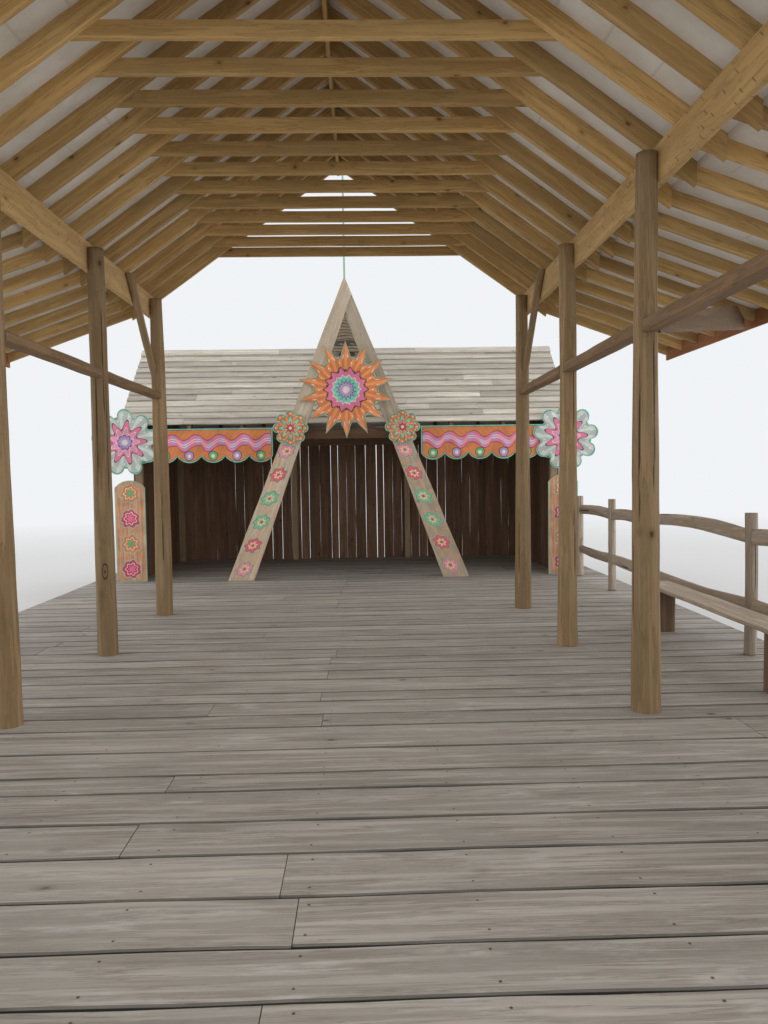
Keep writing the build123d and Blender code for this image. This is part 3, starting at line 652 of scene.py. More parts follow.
# %% Log tubes
def logs(name, foot, head, foot_radius, head_radius, sway, lumps, stations, ring, cracks=3,
         flat_x=None, flat_from=0.0, wobble=0.0, flatten=1.0, arch=0.0, known_scar=None):
    """Tubes from foot to head. The radius at share s and angle t is the taper, plus lumps
    that turn slowly with height, plus a round swelling at each knot, less a narrow dip at
    each crack. The middle line is the straight one plus two half waves of sway."""
    foot, head = np.array(foot, float), np.array(head, float)
    count = len(foot)

    def draw(low, high):
        """One random number for each log."""
        return seed.uniform(low, high, (count, 1, 1))

    share = np.linspace(0, 1, stations)[None, :, None]
    angle = (np.arange(ring) / ring * 2 * np.pi)[None, None, :]
    run = head - foot
    length = np.linalg.norm(run, axis=1)[:, None, None]
    along = share * length
    direction = run / length[:, 0]
    guide = np.where(np.abs(direction[:, 2:]) > 0.8, [[0.0, 1.0, 0.0]], [[0.0, 0.0, 1.0]])
    side = np.cross(guide, direction)
    side /= np.linalg.norm(side, axis=1, keepdims=True)
    other = np.cross(direction, side)
    radius = (foot_radius + (head_radius - foot_radius) * share) * draw(0.97, 1.0)
    for lobe in (2, 3, 5):
        turn, climb = draw(0, 2 * np.pi), draw(-1.5, 1.5)
        radius = radius + lumps / lobe * np.sin(lobe * angle + turn + climb * along)
    radius = radius + waves(along[:, :, 0], count, wobble)[:, :, None]
    branch, crack = np.zeros(radius.shape), np.zeros(radius.shape)
    for knot in range(6):
        knot_at, knot_angle = draw(0.1, 0.9) * length, draw(0, 2 * np.pi)
        tall, strength = draw(0.03, 0.06), draw(0.15, 0.48)
        if known_scar and knot == 0:
            log, knot_at[log], knot_angle[log], tall[log], strength[log] = known_scar
        beside = (turned_by(angle - knot_angle) * foot_radius) ** 2 / (0.25 * tall + 0.012) ** 2
        away = (along - knot_at) ** 2 / tall ** 2 + beside
        branch = np.maximum(branch, strength * np.exp(-away))
    for _ in range(cracks):
        crack_angle = draw(0, 2 * np.pi) + 0.05 * np.sin(along * 3) + 0.02 * np.sin(along * 17)
        start, stretch = draw(0.05, 0.6) * length, draw(0.5, 1.2)
        inside = np.clip((along - start) * (start + stretch - along) / stretch ** 2 * 6, 0, 1)
        crack = crack + inside * np.exp(-(turned_by(angle - crack_angle) / 0.05) ** 2)
    radius = radius + 0.006 * (branch - crack)
    single, double = sway * np.sin(np.pi * share), 0.4 * sway * np.sin(2 * np.pi * share)
    bend_side = single * draw(-1, 1) + double * draw(-1, 1)
    bend_other = single * draw(-1, 1)
    arch = np.broadcast_to(np.asarray(arch, float), (count,))[:, None, None]
    a = flatten * radius * np.cos(angle) + bend_side
    b = radius * np.sin(angle) + bend_other + arch * np.sin(np.pi * share)
    points = (
        foot[:, None, None]
        + along[..., None] * direction[:, None, None]
        + a[..., None] * side[:, None, None]
        + b[..., None] * other[:, None, None]
    )
    if flat_x is not None:
        outward = np.sign(flat_x)
        cut = outward * np.minimum(outward * points[..., 0], abs(flat_x))
        points[..., 0] = np.where(points[..., 2] > flat_from, cut, points[..., 0])
    shift = draw(0, 40)
    grain = at(along + shift, a + shift * 0.37, b + shift * 0.11)
    tone = np.broadcast_to(seed.random((count, 1, 1)), a.shape)
    facts = {"grain": grain, "tone": tone, "crack": crack, "branch": branch}
    return put_mesh(name, points, tube_faces(count, stations, ring), facts, smooth=True)


# %% Posts
beam_underside, housed_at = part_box("plate_beam_right")[0].z, 2.055
big_scar = (3, 1.02, -1.3, 0.085, 1.0)
for (side_name, side), known_scar in zip(sides, (big_scar, None)):
    low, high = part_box("posts_" + side_name)
    posts = logs("posts_dressed_" + side_name, at(side * post_line, post_rows, low.z),
                 at(side * post_line, post_rows, high.z), 0.092, 0.066, sway=0.016, lumps=0.0055,
                 wobble=0.0025, stations=90, ring=56, cracks=7, flat_x=side * housed_at,
                 flat_from=beam_underside, known_scar=known_scar)
    finish(posts, log_wood, "log", "posts_" + side_name)

# %% Knee braces
brace_x, brace_foot, brace_top = 2.024, 2.89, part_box("knee_braces")[1].z
run, climb, brace_height = 0.848, brace_top - brace_foot, 0.14
sunk_in, sunk_down = 0.018, 0.018 * climb / run
starts, ends, brace_sides = [], [], []
for side in (-1.0, 1.0):
    for row, toward in ((post_rows[0], 1.0), (post_rows[-1], -1.0)):
        starts.append((side * brace_x, row + toward * (post_face - sunk_in),
                       brace_foot + brace_height / 2 - sunk_down))
        ends.append((side * brace_x,
                     row + toward * (post_face + run - run * brace_height / climb / 2), brace_top))
        brace_sides.append((toward, 0, 0))
braces = bars("knee_braces_dressed", starts, ends, brace_sides, 0.062,
              brace_height * run / math.hypot(run, climb), round_edge=0.02, stations=30, wavy=0.004,
              bow=0.004, cut_start=-climb / run, cut_end=run / climb)
finish(braces, log_wood, "log", "knee_braces")

# %% [markdown]
# ## The hall roof
# From below one sees a pale sheet between the rafters, with a lap every so often. Over it
# lie sawn boards, each course lapping the one below, and over the ridge a capping of two
# boards. The courses run the length of the hall, butted here and there. Lines painted on
# one flat sheet would look right from above, but not along the eaves, so each is a board.

# %% Lapped courses
def lapped_roof(name, node, material, slot, long_axis, facing, slope, low_edge, high_edge, ends,
                number, lap, thickness, tilt=1.0, tuck=0.02, **looks):
    """Courses of lapped boards over one slope. low_edge and high_edge are two points of
    the slope's underside, one above the other, as (across, height). A course starts at
    its share of the way up, leans out by its lap at the foot, and tucks under the next
    one. Each is cut into three boards. ends are the two ends of the courses."""
    low_edge, high_edge = np.array(low_edge, float), np.array(high_edge, float)
    outward = np.array([facing * slope, 1.0]) / math.hypot(1, slope)
    length = np.linalg.norm(high_edge - low_edge)
    up = (high_edge - low_edge) / length
    step_up = length / number
    lean = math.atan(tilt * lap / step_up)
    rise = math.cos(lean) * up - math.sin(lean) * outward
    course = np.arange(number)[:, None]
    width = np.minimum(step_up * (course + 1) + tuck, length) - step_up * course
    centre = low_edge + up * step_up * course + outward * lap * (0.5 + tilt) + rise * width / 2
    cuts = np.sort(seed.uniform(0.12, 0.88, (number, 2)), axis=1)
    cuts = np.concatenate([0 * course, cuts, 0 * course + 1], axis=1) * (ends[1] - ends[0]) + ends[0]
    order = [0, 1, 2] if long_axis == 0 else [1, 0, 2]
    starts, stops = (at(marks, centre[:, :1], centre[:, 1:]).reshape(-1, 3)[:, order]
                     for marks in (cuts[:, :-1] + 0.001, cuts[:, 1:] - 0.001))
    side = np.array([0.0, *rise])[order]
    boards = bars(name, starts, stops, side, np.repeat(width, 3), thickness, **looks)
    finish(boards, material, slot, node)


# %% Roof boards and underlay
weathered = wood("weathered_boards", (0.62, 0.57, 0.50), (0.36, 0.31, 0.26), (0.47, 0.44, 0.40),
                 knots=0.06, knot_scale=6.0, weather=0.7, contrast=0.6, tone_spread=0.15, bump=0.45)

underlay = start_material("roof_underlay")
cloth = mix(fade(noise(here(), 3.0, 5.0), 0.35, 0.65), (0.66, 0.62, 0.56), (0.80, 0.77, 0.72))
cloth = layers(
    cloth,
    # A darker band along the edge of each lap: painted shadow of the lap.
    (fade(fact("seam"), 0.90, 0.97, 0.0, 0.45), (0.40, 0.36, 0.31)),
    (fade(noise(here(), 1.3, 6.0, 0.65), 0.52, 0.66, 0.0, 0.4), (0.50, 0.44, 0.36)),
)
surface(cloth, 0.8, noise(here(), 220.0), 0.15, 0.002)


# %% Underlay of one slope
def sheet(name, inner, outer, steps_across, side):
    """The underlay of one slope: a grid over the slope that hangs a little between the
    rafters, and steps down at each lap. Its height at a point is the slope's height,
    less a sag that is greatest half way between two rafters."""
    across = np.linspace(0, 1, steps_across)[None, :]
    along = np.linspace(roof_y0 + 0.004, roof_y1 - 0.004, 124)[:, None]
    phase = (along - rafter_rows[0]) / pitch
    reach, drop = outer[0] - inner[0], outer[1] - inner[1]
    sag_depth, lap_step, below, thickness = 0.007, 0.003, 0.004, 0.0015
    sag = sag_depth * np.sin(np.pi * phase) ** 2 * (1 + 0.4 * np.sin(5 * across * reach + 1.3 * phase))
    seam = (across * 3.6 * reach + 0.13 * np.floor(phase)) % 1
    under_side = at(side * (inner[0] + reach * across), along,
                    inner[1] + drop * across - sag - below - lap_step * seam)
    lie = slab(name, under_side, under_side + [0, 0, thickness], (0, 0, -1), {"seam": seam}, smooth=True)
    finish(lie, underlay, "roof_boards")


# %% Hall roof
foot_back = 0.009
for side_name, side in sides:
    skirt_edge = max(abs(corner.x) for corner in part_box("skirt_roof_" + side_name))
    foot_x = skirt_edge - foot_back
    tail = (tail_x, rafter_top(tail_x))
    sheet("underlay_main_" + side_name, (0.0, rafter_top(0.0)), tail, 44, side)
    sheet("underlay_skirt_" + side_name, tail, (skirt_edge, skirt_top(skirt_edge)), 28, side)
    for part, slope, (low_x, low_z), (high_x, high_z), number in (
        ("roof", main_slope, tail, (0.0, rafter_top(0.0)), 18),
        ("skirt_roof", skirt_slope, (foot_x, skirt_top(foot_x)), tail, 9),
    ):
        lapped_roof(part + "_boards_" + side_name, part + "_" + side_name, weathered, "roof_boards",
                    1, side, slope, (side * low_x, low_z), (side * high_x, high_z), (roof_y0, roof_y1),
                    number, 0.013, 0.013, tilt=0.75, round_edge=0.0025, stations=26, wavy=0.002)


# %% Ridge capping
def capping(name, ridge, slope, across_axis, ends, width, rise, material, slot):
    """Two boards over a ridge, cut into three lengths. ridge is a point of the line where
    the slopes' undersides meet, and rise is how far the boards lie over it."""
    thickness, cuts = 0.016, np.linspace(ends[0], ends[1], 4)
    starts, stops, downs = [], [], []
    for facing in (-1.0, 1.0):
        down, out = np.zeros(3), np.zeros(3)
        down[[across_axis, 2]] = facing, -slope
        out[[across_axis, 2]] = facing * slope, 1.0
        down, out = down / np.linalg.norm(down), out / np.linalg.norm(out)
        centre = ridge + out * rise + down * (width / 2 - facing * thickness / 2)
        for places, marks in ((starts, cuts[:-1] + 0.001), (stops, cuts[1:] - 0.001)):
            line = np.tile(centre, (3, 1))
            line[:, 1 - across_axis] = marks
            places.extend(line)
        downs += [down] * 3
    boards = bars(name, starts, stops, downs, width, thickness, wavy=0.0015, bow=0.001)
    finish(boards, material, slot)


capping("ridge_cap_hall", np.array([0.0, 0.0, rafter_top(0.0)]), main_slope, 0, (roof_y0, roof_y1), 0.15,
        0.038, weathered, "roof_boards")

# %% Eave boards
cedar = wood("cedar", (0.50, 0.235, 0.115), (0.30, 0.125, 0.055), (0.36, 0.18, 0.10), streak=20,
             knots=0.05, knot_scale=6.0, weather=0.3, contrast=0.4, tone_spread=0.1)
for side_name, side in sides:
    along_box("eave_board_" + side_name, "eave_fascia_" + side_name, cedar, "cedar", across=2, parts=3,
              gap=0.001, wavy=0.0012, bow=0.001)

# %% [markdown]
# ## The stage hut
# The hut is a small post and beam frame with a steep roof of lapped boards. Its walls are
# upright boards with narrow gaps that let thin lines of light through. The roof courses
# are weathered pale, and their shadows draw the dark lines across the slope.

# %% Hut roof
front_low, front_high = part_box("stage_roof_front")
back_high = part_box("stage_roof_back")[1]
ridge_y, ridge_z = front_high.y, front_high.z
slab_depth, built_slope = 0.035, 1.3 / 1.39
hut_rise = ridge_z - front_low.z - slab_depth * math.hypot(1, built_slope)
hut_slope = hut_rise / (ridge_y - front_low.y)
drop = slab_depth * math.hypot(1, hut_slope)
eave_z = ridge_z - hut_slope * (ridge_y - front_low.y)
hut_boards = wood("hut_roof_boards", (0.70, 0.65, 0.56), (0.38, 0.335, 0.27), (0.52, 0.48, 0.415),
                  streak=24, knots=0.08, knot_scale=6.0, weather=0.75, contrast=0.75, tone_spread=0.2,
                  bump=0.5)
lip = 0.028
hut_halves = (("front", -1.0, front_low.y), ("back", 1.0, back_high.y))
hut_ends = (front_low.x, front_high.x)
for part, facing, eave_y in hut_halves:
    lapped_roof("hut_roof_boards_" + part, "stage_roof_" + part, hut_boards, "hut_roof", 0, facing,
                hut_slope, (eave_y - facing * lip, eave_z - drop + lip * hut_slope),
                (ridge_y, ridge_z - drop), hut_ends, 13, 0.02, 0.018, tuck=0.03, wavy=0.005, bow=0.002)

capping("ridge_cap_hut", np.array([0.0, ridge_y, ridge_z - drop]), hut_slope, 1, hut_ends, 0.14, 0.05,
        hut_boards, "hut_roof")

# %% Hut frame
corner_wood = wood("hut_posts", (0.46, 0.335, 0.21), (0.26, 0.18, 0.105), (0.36, 0.27, 0.18), weather=0.5)
hut_wood = wood("hut_timber", (0.26, 0.15, 0.09), (0.11, 0.06, 0.035), (0.17, 0.105, 0.07), streak=22,
                knots=0.08, knot_scale=6.0, weather=0.5, tone_spread=0.22, bump=0.35)
posts_low, posts_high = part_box("stage_posts")
post_size = 0.1
axis_x = posts_high.x - post_size / 2
front_y, rear_y = posts_low.y + post_size / 2, posts_high.y - post_size / 2
post_x = axis_x * np.array([-1, 1, -1, -1 / 3, 1 / 3, 1])
post_y = np.array([front_y] * 2 + [rear_y] * 4)
hut_posts = bars("hut_posts_dressed", at(post_x, post_y, posts_low.z), at(post_x, post_y, posts_high.z),
                 (1, 0, 0), post_size, post_size, round_edge=0.008, stations=24, wavy=0.001)
finish(hut_posts, corner_wood, "hut_wall", "stage_posts")
beams_low, beams_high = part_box("stage_beams")
starts, ends = (at(x, np.array([front_y, rear_y]), (beams_low.z + beams_high.z) / 2)
                for x in (beams_low.x, beams_high.x))
hut_beams = bars("hut_beams_dressed", starts, ends, (0, 1, 0), post_size, beams_high.z - beams_low.z,
                 round_edge=0.005, wavy=0.001)
finish(hut_beams, hut_wood, "hut_wall", "stage_beams")
rafter_x = np.linspace(-axis_x, axis_x, 9)
hut_rafter_depth = 0.1
under_boards = drop + hut_rafter_depth * math.hypot(1, hut_slope) / 2
for part, facing, eave_y in hut_halves:
    rafters = bars("hut_rafters_" + part, at(rafter_x, eave_y, eave_z - under_boards),
                   at(rafter_x, ridge_y, ridge_z - under_boards), (-facing, 0, 0), rafter_width,
                   hut_rafter_depth, stations=16, wavy=0.001, cut_start=-hut_slope, cut_end=-hut_slope)
    finish(rafters, hut_wood, "hut_wall", "stage_rafters_" + part)


# %% Hut walls
def wall_boards(name, node, axis, heights):
    """Upright boards of uneven width over the box of a wall. axis is the one along the
    wall, and heights gives the top of a board from its place along the wall. Most boards
    have shrunk by little, and a few by the whole gap."""
    gap, stations = 0.014, 30
    low, high = np.array(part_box(node), float)
    edges = low[axis] + np.concatenate([[0], np.cumsum(seed.uniform(0.13, 0.2, 200))])
    edges = np.append(edges[edges < high[axis] - 0.08], high[axis])
    middle = (edges[:-1] + edges[1:]) / 2
    other = 1 - axis
    count = len(middle)
    slope = (heights(middle + 0.01) - heights(middle - 0.01)) / 0.02
    width = np.diff(edges) - 0.0015 - gap * seed.uniform(0, 1, count) ** 6
    tall = (heights(middle) - low[2])[:, None]
    share = np.linspace(0, 1, stations)
    both = []
    for half in (-width / 2, width / 2):
        edge = np.zeros((count, stations, 3))
        edge[..., axis] = (middle + half)[:, None] + waves(share * tall, count, 0.0015)
        edge[..., other] = (low[other] + high[other]) / 2
        edge[..., 2] = low[2] + share * (tall + (slope * half)[:, None])
        both.append(edge)
    boards = ruled(name, *both, np.eye(3)[other], high[other] - low[other] - 0.003, 0.002)
    finish(boards, hut_wood, "hut_wall", node)


wall_boards("back_wall_boards", "stage_back_wall", 0,
            lambda x: np.full(x.shape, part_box("stage_back_wall")[1].z))
for side_name, side in sides:
    wall_boards("side_wall_boards_" + side_name, "stage_wall_" + side_name, 1,
                lambda y: ridge_z - drop - hut_slope * np.abs(y - ridge_y))

# %% Floor frame under the deck
bearer_low, bearer_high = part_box("ground_bearers")
half_size, waves_room = 0.05, 0.003
bearer_rows = np.linspace(bearer_low.y + half_size, bearer_high.y - half_size, 9)
bearers = bars("bearers_dressed", at(bearer_low.x, bearer_rows, half_size),
               at(bearer_high.x, bearer_rows, half_size), (0, 1, 0), 2 * half_size - waves_room,
               2 * half_size, round_edge=0.005, stations=30, wavy=0.0015)
finish(bearers, under_wood, "deck_timber", "ground_bearers")
joist_z = (joist_low.z + joist_high.z) / 2
joists = bars("joists_dressed", at(joist_x, joist_low.y, joist_z), at(joist_x, joist_high.y, joist_z),
              (1, 0, 0), joist_width, 0.15, stations=60, wavy=0.001)
finish(joists, under_wood, "deck_timber", "floor_joists")

# %% [markdown]
# ## The crossed planks
# Two thick planks lean together over the stage, cross near their tops and close to one
# point. A plank here is the surface between two long edges, so it can widen to its foot.
# They are weathered pale, and flowers are painted down them.

# %% Lines of the planks
foot_outer, foot_inner = 1.76, 1.38
outer_apex, inner_apex = 4.36, 3.84
outer_lean, inner_lean = foot_outer / outer_apex, foot_inner / inner_apex
cross_height = (foot_inner + foot_outer) / (inner_lean + outer_lean)
cross_reach = (cross_height - inner_apex) * inner_lean


# %% Flowers down a plank
def spotted(colour):
    """Painted flowers down a leaning plank, over its wood. The plank's middle line is
    foot_x - lean * height, so a point's distance from it and from the nearest flower's
    middle give the radius and the bearing of the point in that flower."""
    lean, foot_x, top, cell = 0.3816, 1.57, 2.05, 0.34
    bare, place = colour, here()
    waver = noise(place, 10.0)
    where = step("SeparateXYZ", i0=step("VectorMath", {"operation": "MULTIPLY_ADD"}, i0=waver["Color"],
                                        i1=(0.03, 0.03, 0.03), i2=place))
    height = where[2] - (deck_top + 0.015)
    stretch = math.hypot(1, lean)
    across = (abs(where) - (height * -lean + foot_x)) / stretch
    rows = height / cell
    up = (rows.math("FRACT") - 0.5) * (cell * stretch)
    bearing = up.math("ARCTAN2", across)
    reach = (across * across + up * up).math("SQRT") - (bearing * 7.0).math("COSINE") * 0.012
    low_part = under(height, top - 0.05, top)
    pick = step("TexWhiteNoise", {"noise_dimensions": "1D"}, W=rows.math("FLOOR"))["Value"]
    petal = mix(pick > 0.45, (0.80, 0.16, 0.20), (0.88, 0.34, 0.42))
    petal = mix(pick > 0.78, petal, (0.28, 0.58, 0.34))
    colour = mix(fade(waver, 0.45, 0.6, 0.0, 0.4) * low_part, colour, (0.80, 0.42, 0.24))
    for limit, soft, paint in ((0.118, 0.006, (0.30, 0.68, 0.50)), (0.108, 0.004, (0.10, 0.06, 0.05)),
                               (0.102, 0.004, petal), (0.052, 0.004, (0.93, 0.82, 0.66)),
                               (0.034, 0.004, (0.84, 0.36, 0.12)), (0.016, 0.003, (0.15, 0.06, 0.05))):
        colour = mix(under(reach, limit - soft, limit) * low_part, colour, paint)
    wear = noise(place, detail=4.0, stretch=(60, 60, 9))
    return mix(fade(wear, 0.56, 0.66, 0.0, 0.55), colour, bare)


# %% Planks
plank_wood = wood("plank", (0.70, 0.60, 0.46), (0.42, 0.33, 0.23), (0.56, 0.48, 0.38), streak=16,
                  knots=0.05, knot_scale=5.0, weather=0.6, contrast=0.6, tone_spread=0.2, bump=0.4,
                  painting=spotted)
for side_name, side in sides:
    low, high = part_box("frame_leg_" + side_name)
    share = np.linspace(0, 1, 60)
    middle_y = (low.y + high.y) / 2
    outer_edge = at(side * foot_outer * (1 - share), middle_y, deck_top + outer_apex * share)
    inner_edge = at(side * (foot_inner * (1 - share) - cross_reach * share), middle_y,
                    deck_top + cross_height * share)
    outer_edge[1:-1, 0] += 0.0025 * np.sin(np.arange(58) * 0.5)
    plank = ruled("plank_" + side_name, outer_edge[None], inner_edge[None], (0, 1, 0), high.y - low.y, 0.004)
    finish(plank, plank_wood, "plank", "frame_leg_" + side_name)

# %% Eave strut
strut_run_x, strut_run_y, strut_rise = 1.64, 2.22, -0.16
strut_turn = math.atan2(strut_run_y, strut_run_x)
recoat("eave_strut", wood("eave_strut", (0.22, 0.135, 0.07), (0.11, 0.065, 0.034), (0.16, 0.105, 0.06),
                          streak=20, knots=0.05, knot_scale=6.0, weather=0.5, bump=0.3,
                          turned=(0, strut_rise, strut_turn)))

# %% [markdown]
# ## Painted boards
# The boards over the stage are sawn from sheet and painted by hand. Each round one is a
# fan of rings between its middle and its outline, and the outline is one distance for
# each angle: the farthest of the disc and its lobes or rays. Each straight one is a grid
# between a lower and an upper curve. Joined discs would give the same outline, but then
# no point would know how far it is from the edge. Here every point carries that distance
# and three numbers for the paint.

# %% Outlines of the round boards
board_depth = 0.025


def lobes_radius(angle, disc, lobes, lobe, first):
    """Distance of the outline at an angle: the disc, or a lobe where that is farther."""
    far = np.full(angle.shape, disc)
    for n in range(lobes):
        away = angle - (first + 2 * np.pi * n / lobes)
        reach = lobe ** 2 - (disc * np.sin(away)) ** 2
        hit = (reach > 0) & (np.cos(away) > 0)
        far = np.where(hit, np.maximum(far, disc * np.cos(away) + np.sqrt(np.maximum(reach, 0))), far)
    return far


def rays_radius(angle, disc, rays, tip, root, width, first):
    """Distance of the outline at an angle: the disc, or a pointed ray where it is farther."""
    away = np.abs((angle - first + np.pi / rays) % (2 * np.pi / rays) - np.pi / rays)
    lean = width / 2 / (tip - root)
    return np.maximum(disc, lean * tip / (np.sin(away) + lean * np.cos(away)))


# %% Round and straight boards
def round_board(name, node, material, centre_x, centre_z, front_y, radius_of, angles=720):
    """A fan of five rings. The last one is a hair farther out and farther back than the
    one before, which rounds the edge. The paint numbers are the place from the middle and
    the share of the radius."""
    share = np.array([0.02, 0.35, 0.7, 1.0, 1.0])[:, None]
    drawn_in = np.array([0.0, 0.0, 0.0, 0.002, 0.0])[:, None]
    set_back = np.array([0.0, 0.0, 0.0, 0.0, 0.002])[:, None]
    angle = np.linspace(0, 2 * np.pi, angles, endpoint=False)[None, :]
    radius = radius_of(angle)
    reach = share * radius - drawn_in
    across, up = reach * np.cos(angle), reach * np.sin(angle)
    front, back = (at(centre_x + across, y, centre_z + up)
                   for y in (front_y + set_back, front_y + board_depth - set_back))
    facts = {"paint": at(across, up, share), "rim": radius - reach}
    board = slab(name, front, back, (0, -1, 0), facts, closed=True)
    finish(board, material, "painted_board", node)


def long_board(name, node, material, x_from, x_to, lower, upper, front_y, columns, shares, repeats):
    """A grid between two curves, with its rows at the given shares of the height. The
    paint numbers are the count of repeats along the board and the share of its height."""
    x = np.linspace(x_from, x_to, columns)[None, :]
    share = np.array(shares)[:, None]
    low, high = lower(x), upper(x)
    z = low + (high - low) * share
    rim = np.minimum(np.minimum(z - low, high - z), np.minimum(abs(x - x_from), abs(x_to - x)))
    front = at(x, front_y, z)
    facts = {"paint": at(abs(x - x_from) / abs(x_to - x_from) * repeats, 0.0, share), "rim": rim}
    board = slab(name, front, front + [0, board_depth, 0], (0, -1, 0), facts)
    finish(board, material, "painted_board", node)


# %% Paint colours
mint, orange, pink, ink = (0.22, 0.66, 0.52), (0.74, 0.25, 0.08), (0.85, 0.22, 0.38), (0.05, 0.045, 0.05)
lilac, leaf, red, cream = (0.50, 0.36, 0.66), (0.16, 0.50, 0.22), (0.66, 0.07, 0.14), (0.90, 0.80, 0.68)


# %% First and last steps of the paint
def paint_base(name, wander, around):
    """The start of a painted board. It gives how far along or round a point is, its share
    of the height or the radius, and its distance from the edge, each moved a little by a
    noise so that every line looks drawn by hand."""
    material = start_material(name)
    numbers = step("SeparateXYZ", i0=fact("paint", "Vector"))
    first = numbers[1].math("ARCTAN2", numbers[0]) * (0.5 / math.pi) if around else numbers[0]
    shift = step("SeparateColor", Color=noise(here(), 9.0)["Color"])
    return material, *(value + (shift[n] - 0.5) * wander[n]
                       for n, value in enumerate((first, numbers[2], fact("rim"))))


def paint_end(colour):
    """The end of a painted board: brush strokes in the gloss, a little wear to bare wood,
    slow changes of strength as from thin paint, and bare wood on the edges and the back."""
    raw, place = (0.55, 0.44, 0.32), here()
    strokes = noise(place, detail=4.0, stretch=(14, 14, 55))
    colour = shaded(colour, fade(noise(place, 5.0, 4.0, 0.6), 0.3, 0.7, 0.78, 1.12))
    colour = mix(fade(strokes, 0.68, 0.76, 0.0, 0.7), colour, raw)
    grain = noise(place, detail=5.0, stretch=(2.0, 40, 40))
    facing = step("SeparateXYZ", i0=step("NewGeometry")["Normal"])[1]
    bare = mix(fade(grain, 0.35, 0.65), dimmed(raw, 0.6), raw)
    colour = mix(fade(facing, -0.35, -0.2), colour, bare)
    surface(colour, fade(strokes, 0.3, 0.7, 0.45, 0.65), strokes, 0.25, 0.003, 0.35)


# %% Paint of a round board
def flower_paint(name, petals, ground, petal, heart, ring):
    """A round board: a mint rim with an ink line, a ring of dots, petals whose reach swings
    with the cosine of the angle, and a heart with a pale eye."""
    material, turn, share, edge = paint_base(name, (0.012, 0.035, 0.006), True)
    bearing = turn * (2 * math.pi * petals)
    swing = bearing.math("COSINE")
    swirl = (share * 3.0 + bearing * 2.0).math("SINE")
    beyond = share - (swing * 0.14 + 0.56)
    inner = share - (swing * 0.09 + 0.37)
    dots = fade((bearing * 3.0).math("COSINE"), 0.55, 0.75)
    paint_end(layers(
        ground,
        (fade(swirl, 0.1, 0.3), tuple(min(1, 1.25 * c + 0.04) for c in ground)),
        (under(beyond, -0.012, 0.012), petal),
        (within(beyond, -0.03, 0.012), ink),
        (under(inner, -0.012, 0.012), ring),
        (within(inner, -0.02, 0.01), cream),
        (under(share, 0.2, 0.215), heart),
        (within(share, 0.195, 0.225), ink),
        (under(share, 0.085, 0.1), cream),
        (dots * within(share, 0.79, 0.86), cream),
        (under(edge, 0.022, 0.026), ink),
        (under(edge, 0.015, 0.019), mint),
    ))
    return material


# %% Paint of a trim board
def every_other(value):
    """1 for every other whole number, 0 for those between."""
    return (value.math("FLOOR") * 0.5).math("FRACT") > 0.25


def ribbon_paint(name):
    """A trim board: a mint rim, an orange ground, a wavy pink ribbon with pale and ink
    lines, and a green or lilac spot in each scallop."""
    material, along, share, edge = paint_base(name, (0.06, 0.05, 0.006), False)
    wave = (along * (2 * math.pi)).math("SINE")
    off = abs(share - (wave * 0.09 + 0.56))
    strokes = ((along + share) * 26.0).math("SINE")
    weave = (along * (4 * math.pi)).math("SINE")
    cell, high = along.math("FRACT") - 0.5, share - 0.2
    away = (cell * cell + high * high * 1.9).math("SQRT")
    paint_end(layers(
        orange,
        (fade(strokes, 0.2, 0.5, 0.0, 0.45), (0.62, 0.22, 0.10)),
        (under(off, 0.175, 0.19), ink),
        (under(off, 0.155, 0.17), pink),
        (fade(weave, 0.3, 0.4) * under(off, 0.10, 0.115), lilac),
        (within(off, 0.02, 0.045), cream),
        (under(away, 0.19, 0.21), ink),
        (under(away, 0.165, 0.18), mix(every_other(along), leaf, lilac)),
        (under(away, 0.07, 0.08), cream),
        (under(edge, 0.020, 0.024), ink),
        (under(edge, 0.013, 0.017), mint),
    ))
    return material


# %% Paint of a pillar board
def panel_paint(name):
    """A pillar board: rust ground, with a column of ringed spots of changing colour and a
    mint edge that has mostly worn away."""
    material, across, share, edge = paint_base(name, (0.05, 0.02, 0.004), False)
    rows = share * 4.0
    cell_z, cell_x = rows.math("FRACT") - 0.5, (across - 0.5) * 1.18
    bearing = cell_z.math("ARCTAN2", cell_x)
    swing = (bearing * 7.0).math("COSINE") * 0.035
    away = (cell_z * cell_z + cell_x * cell_x).math("SQRT") - swing
    odd = every_other(rows)
    grain = noise(here(), detail=4.0, stretch=(40, 40, 3))
    paint_end(layers(
        mix(fade(grain, 0.35, 0.65), (0.55, 0.25, 0.13), (0.72, 0.42, 0.25)),
        (under(away, 0.37, 0.385), mint),
        (under(away, 0.335, 0.35), mix(odd, red, orange)),
        (within(away, 0.20, 0.235), cream),
        (under(away, 0.12, 0.135), mix(odd, pink, leaf)),
        (under(edge, 0.008, 0.012), mint),
    ))
    return material


# %% Five paints
roundel_paint = flower_paint("roundel_paint", 9, (0.50, 0.56, 0.52), pink, lilac, (0.78, 0.36, 0.55))
sun_paint = flower_paint("sun_paint", 14, orange, pink, lilac, mint)
rosette_paint = flower_paint("rosette_paint", 8, orange, mint, red, orange)
trim_paint = ribbon_paint("trim_paint")
pillar_paint = panel_paint("pillar_paint")
print("materials", len(bpy.data.materials))

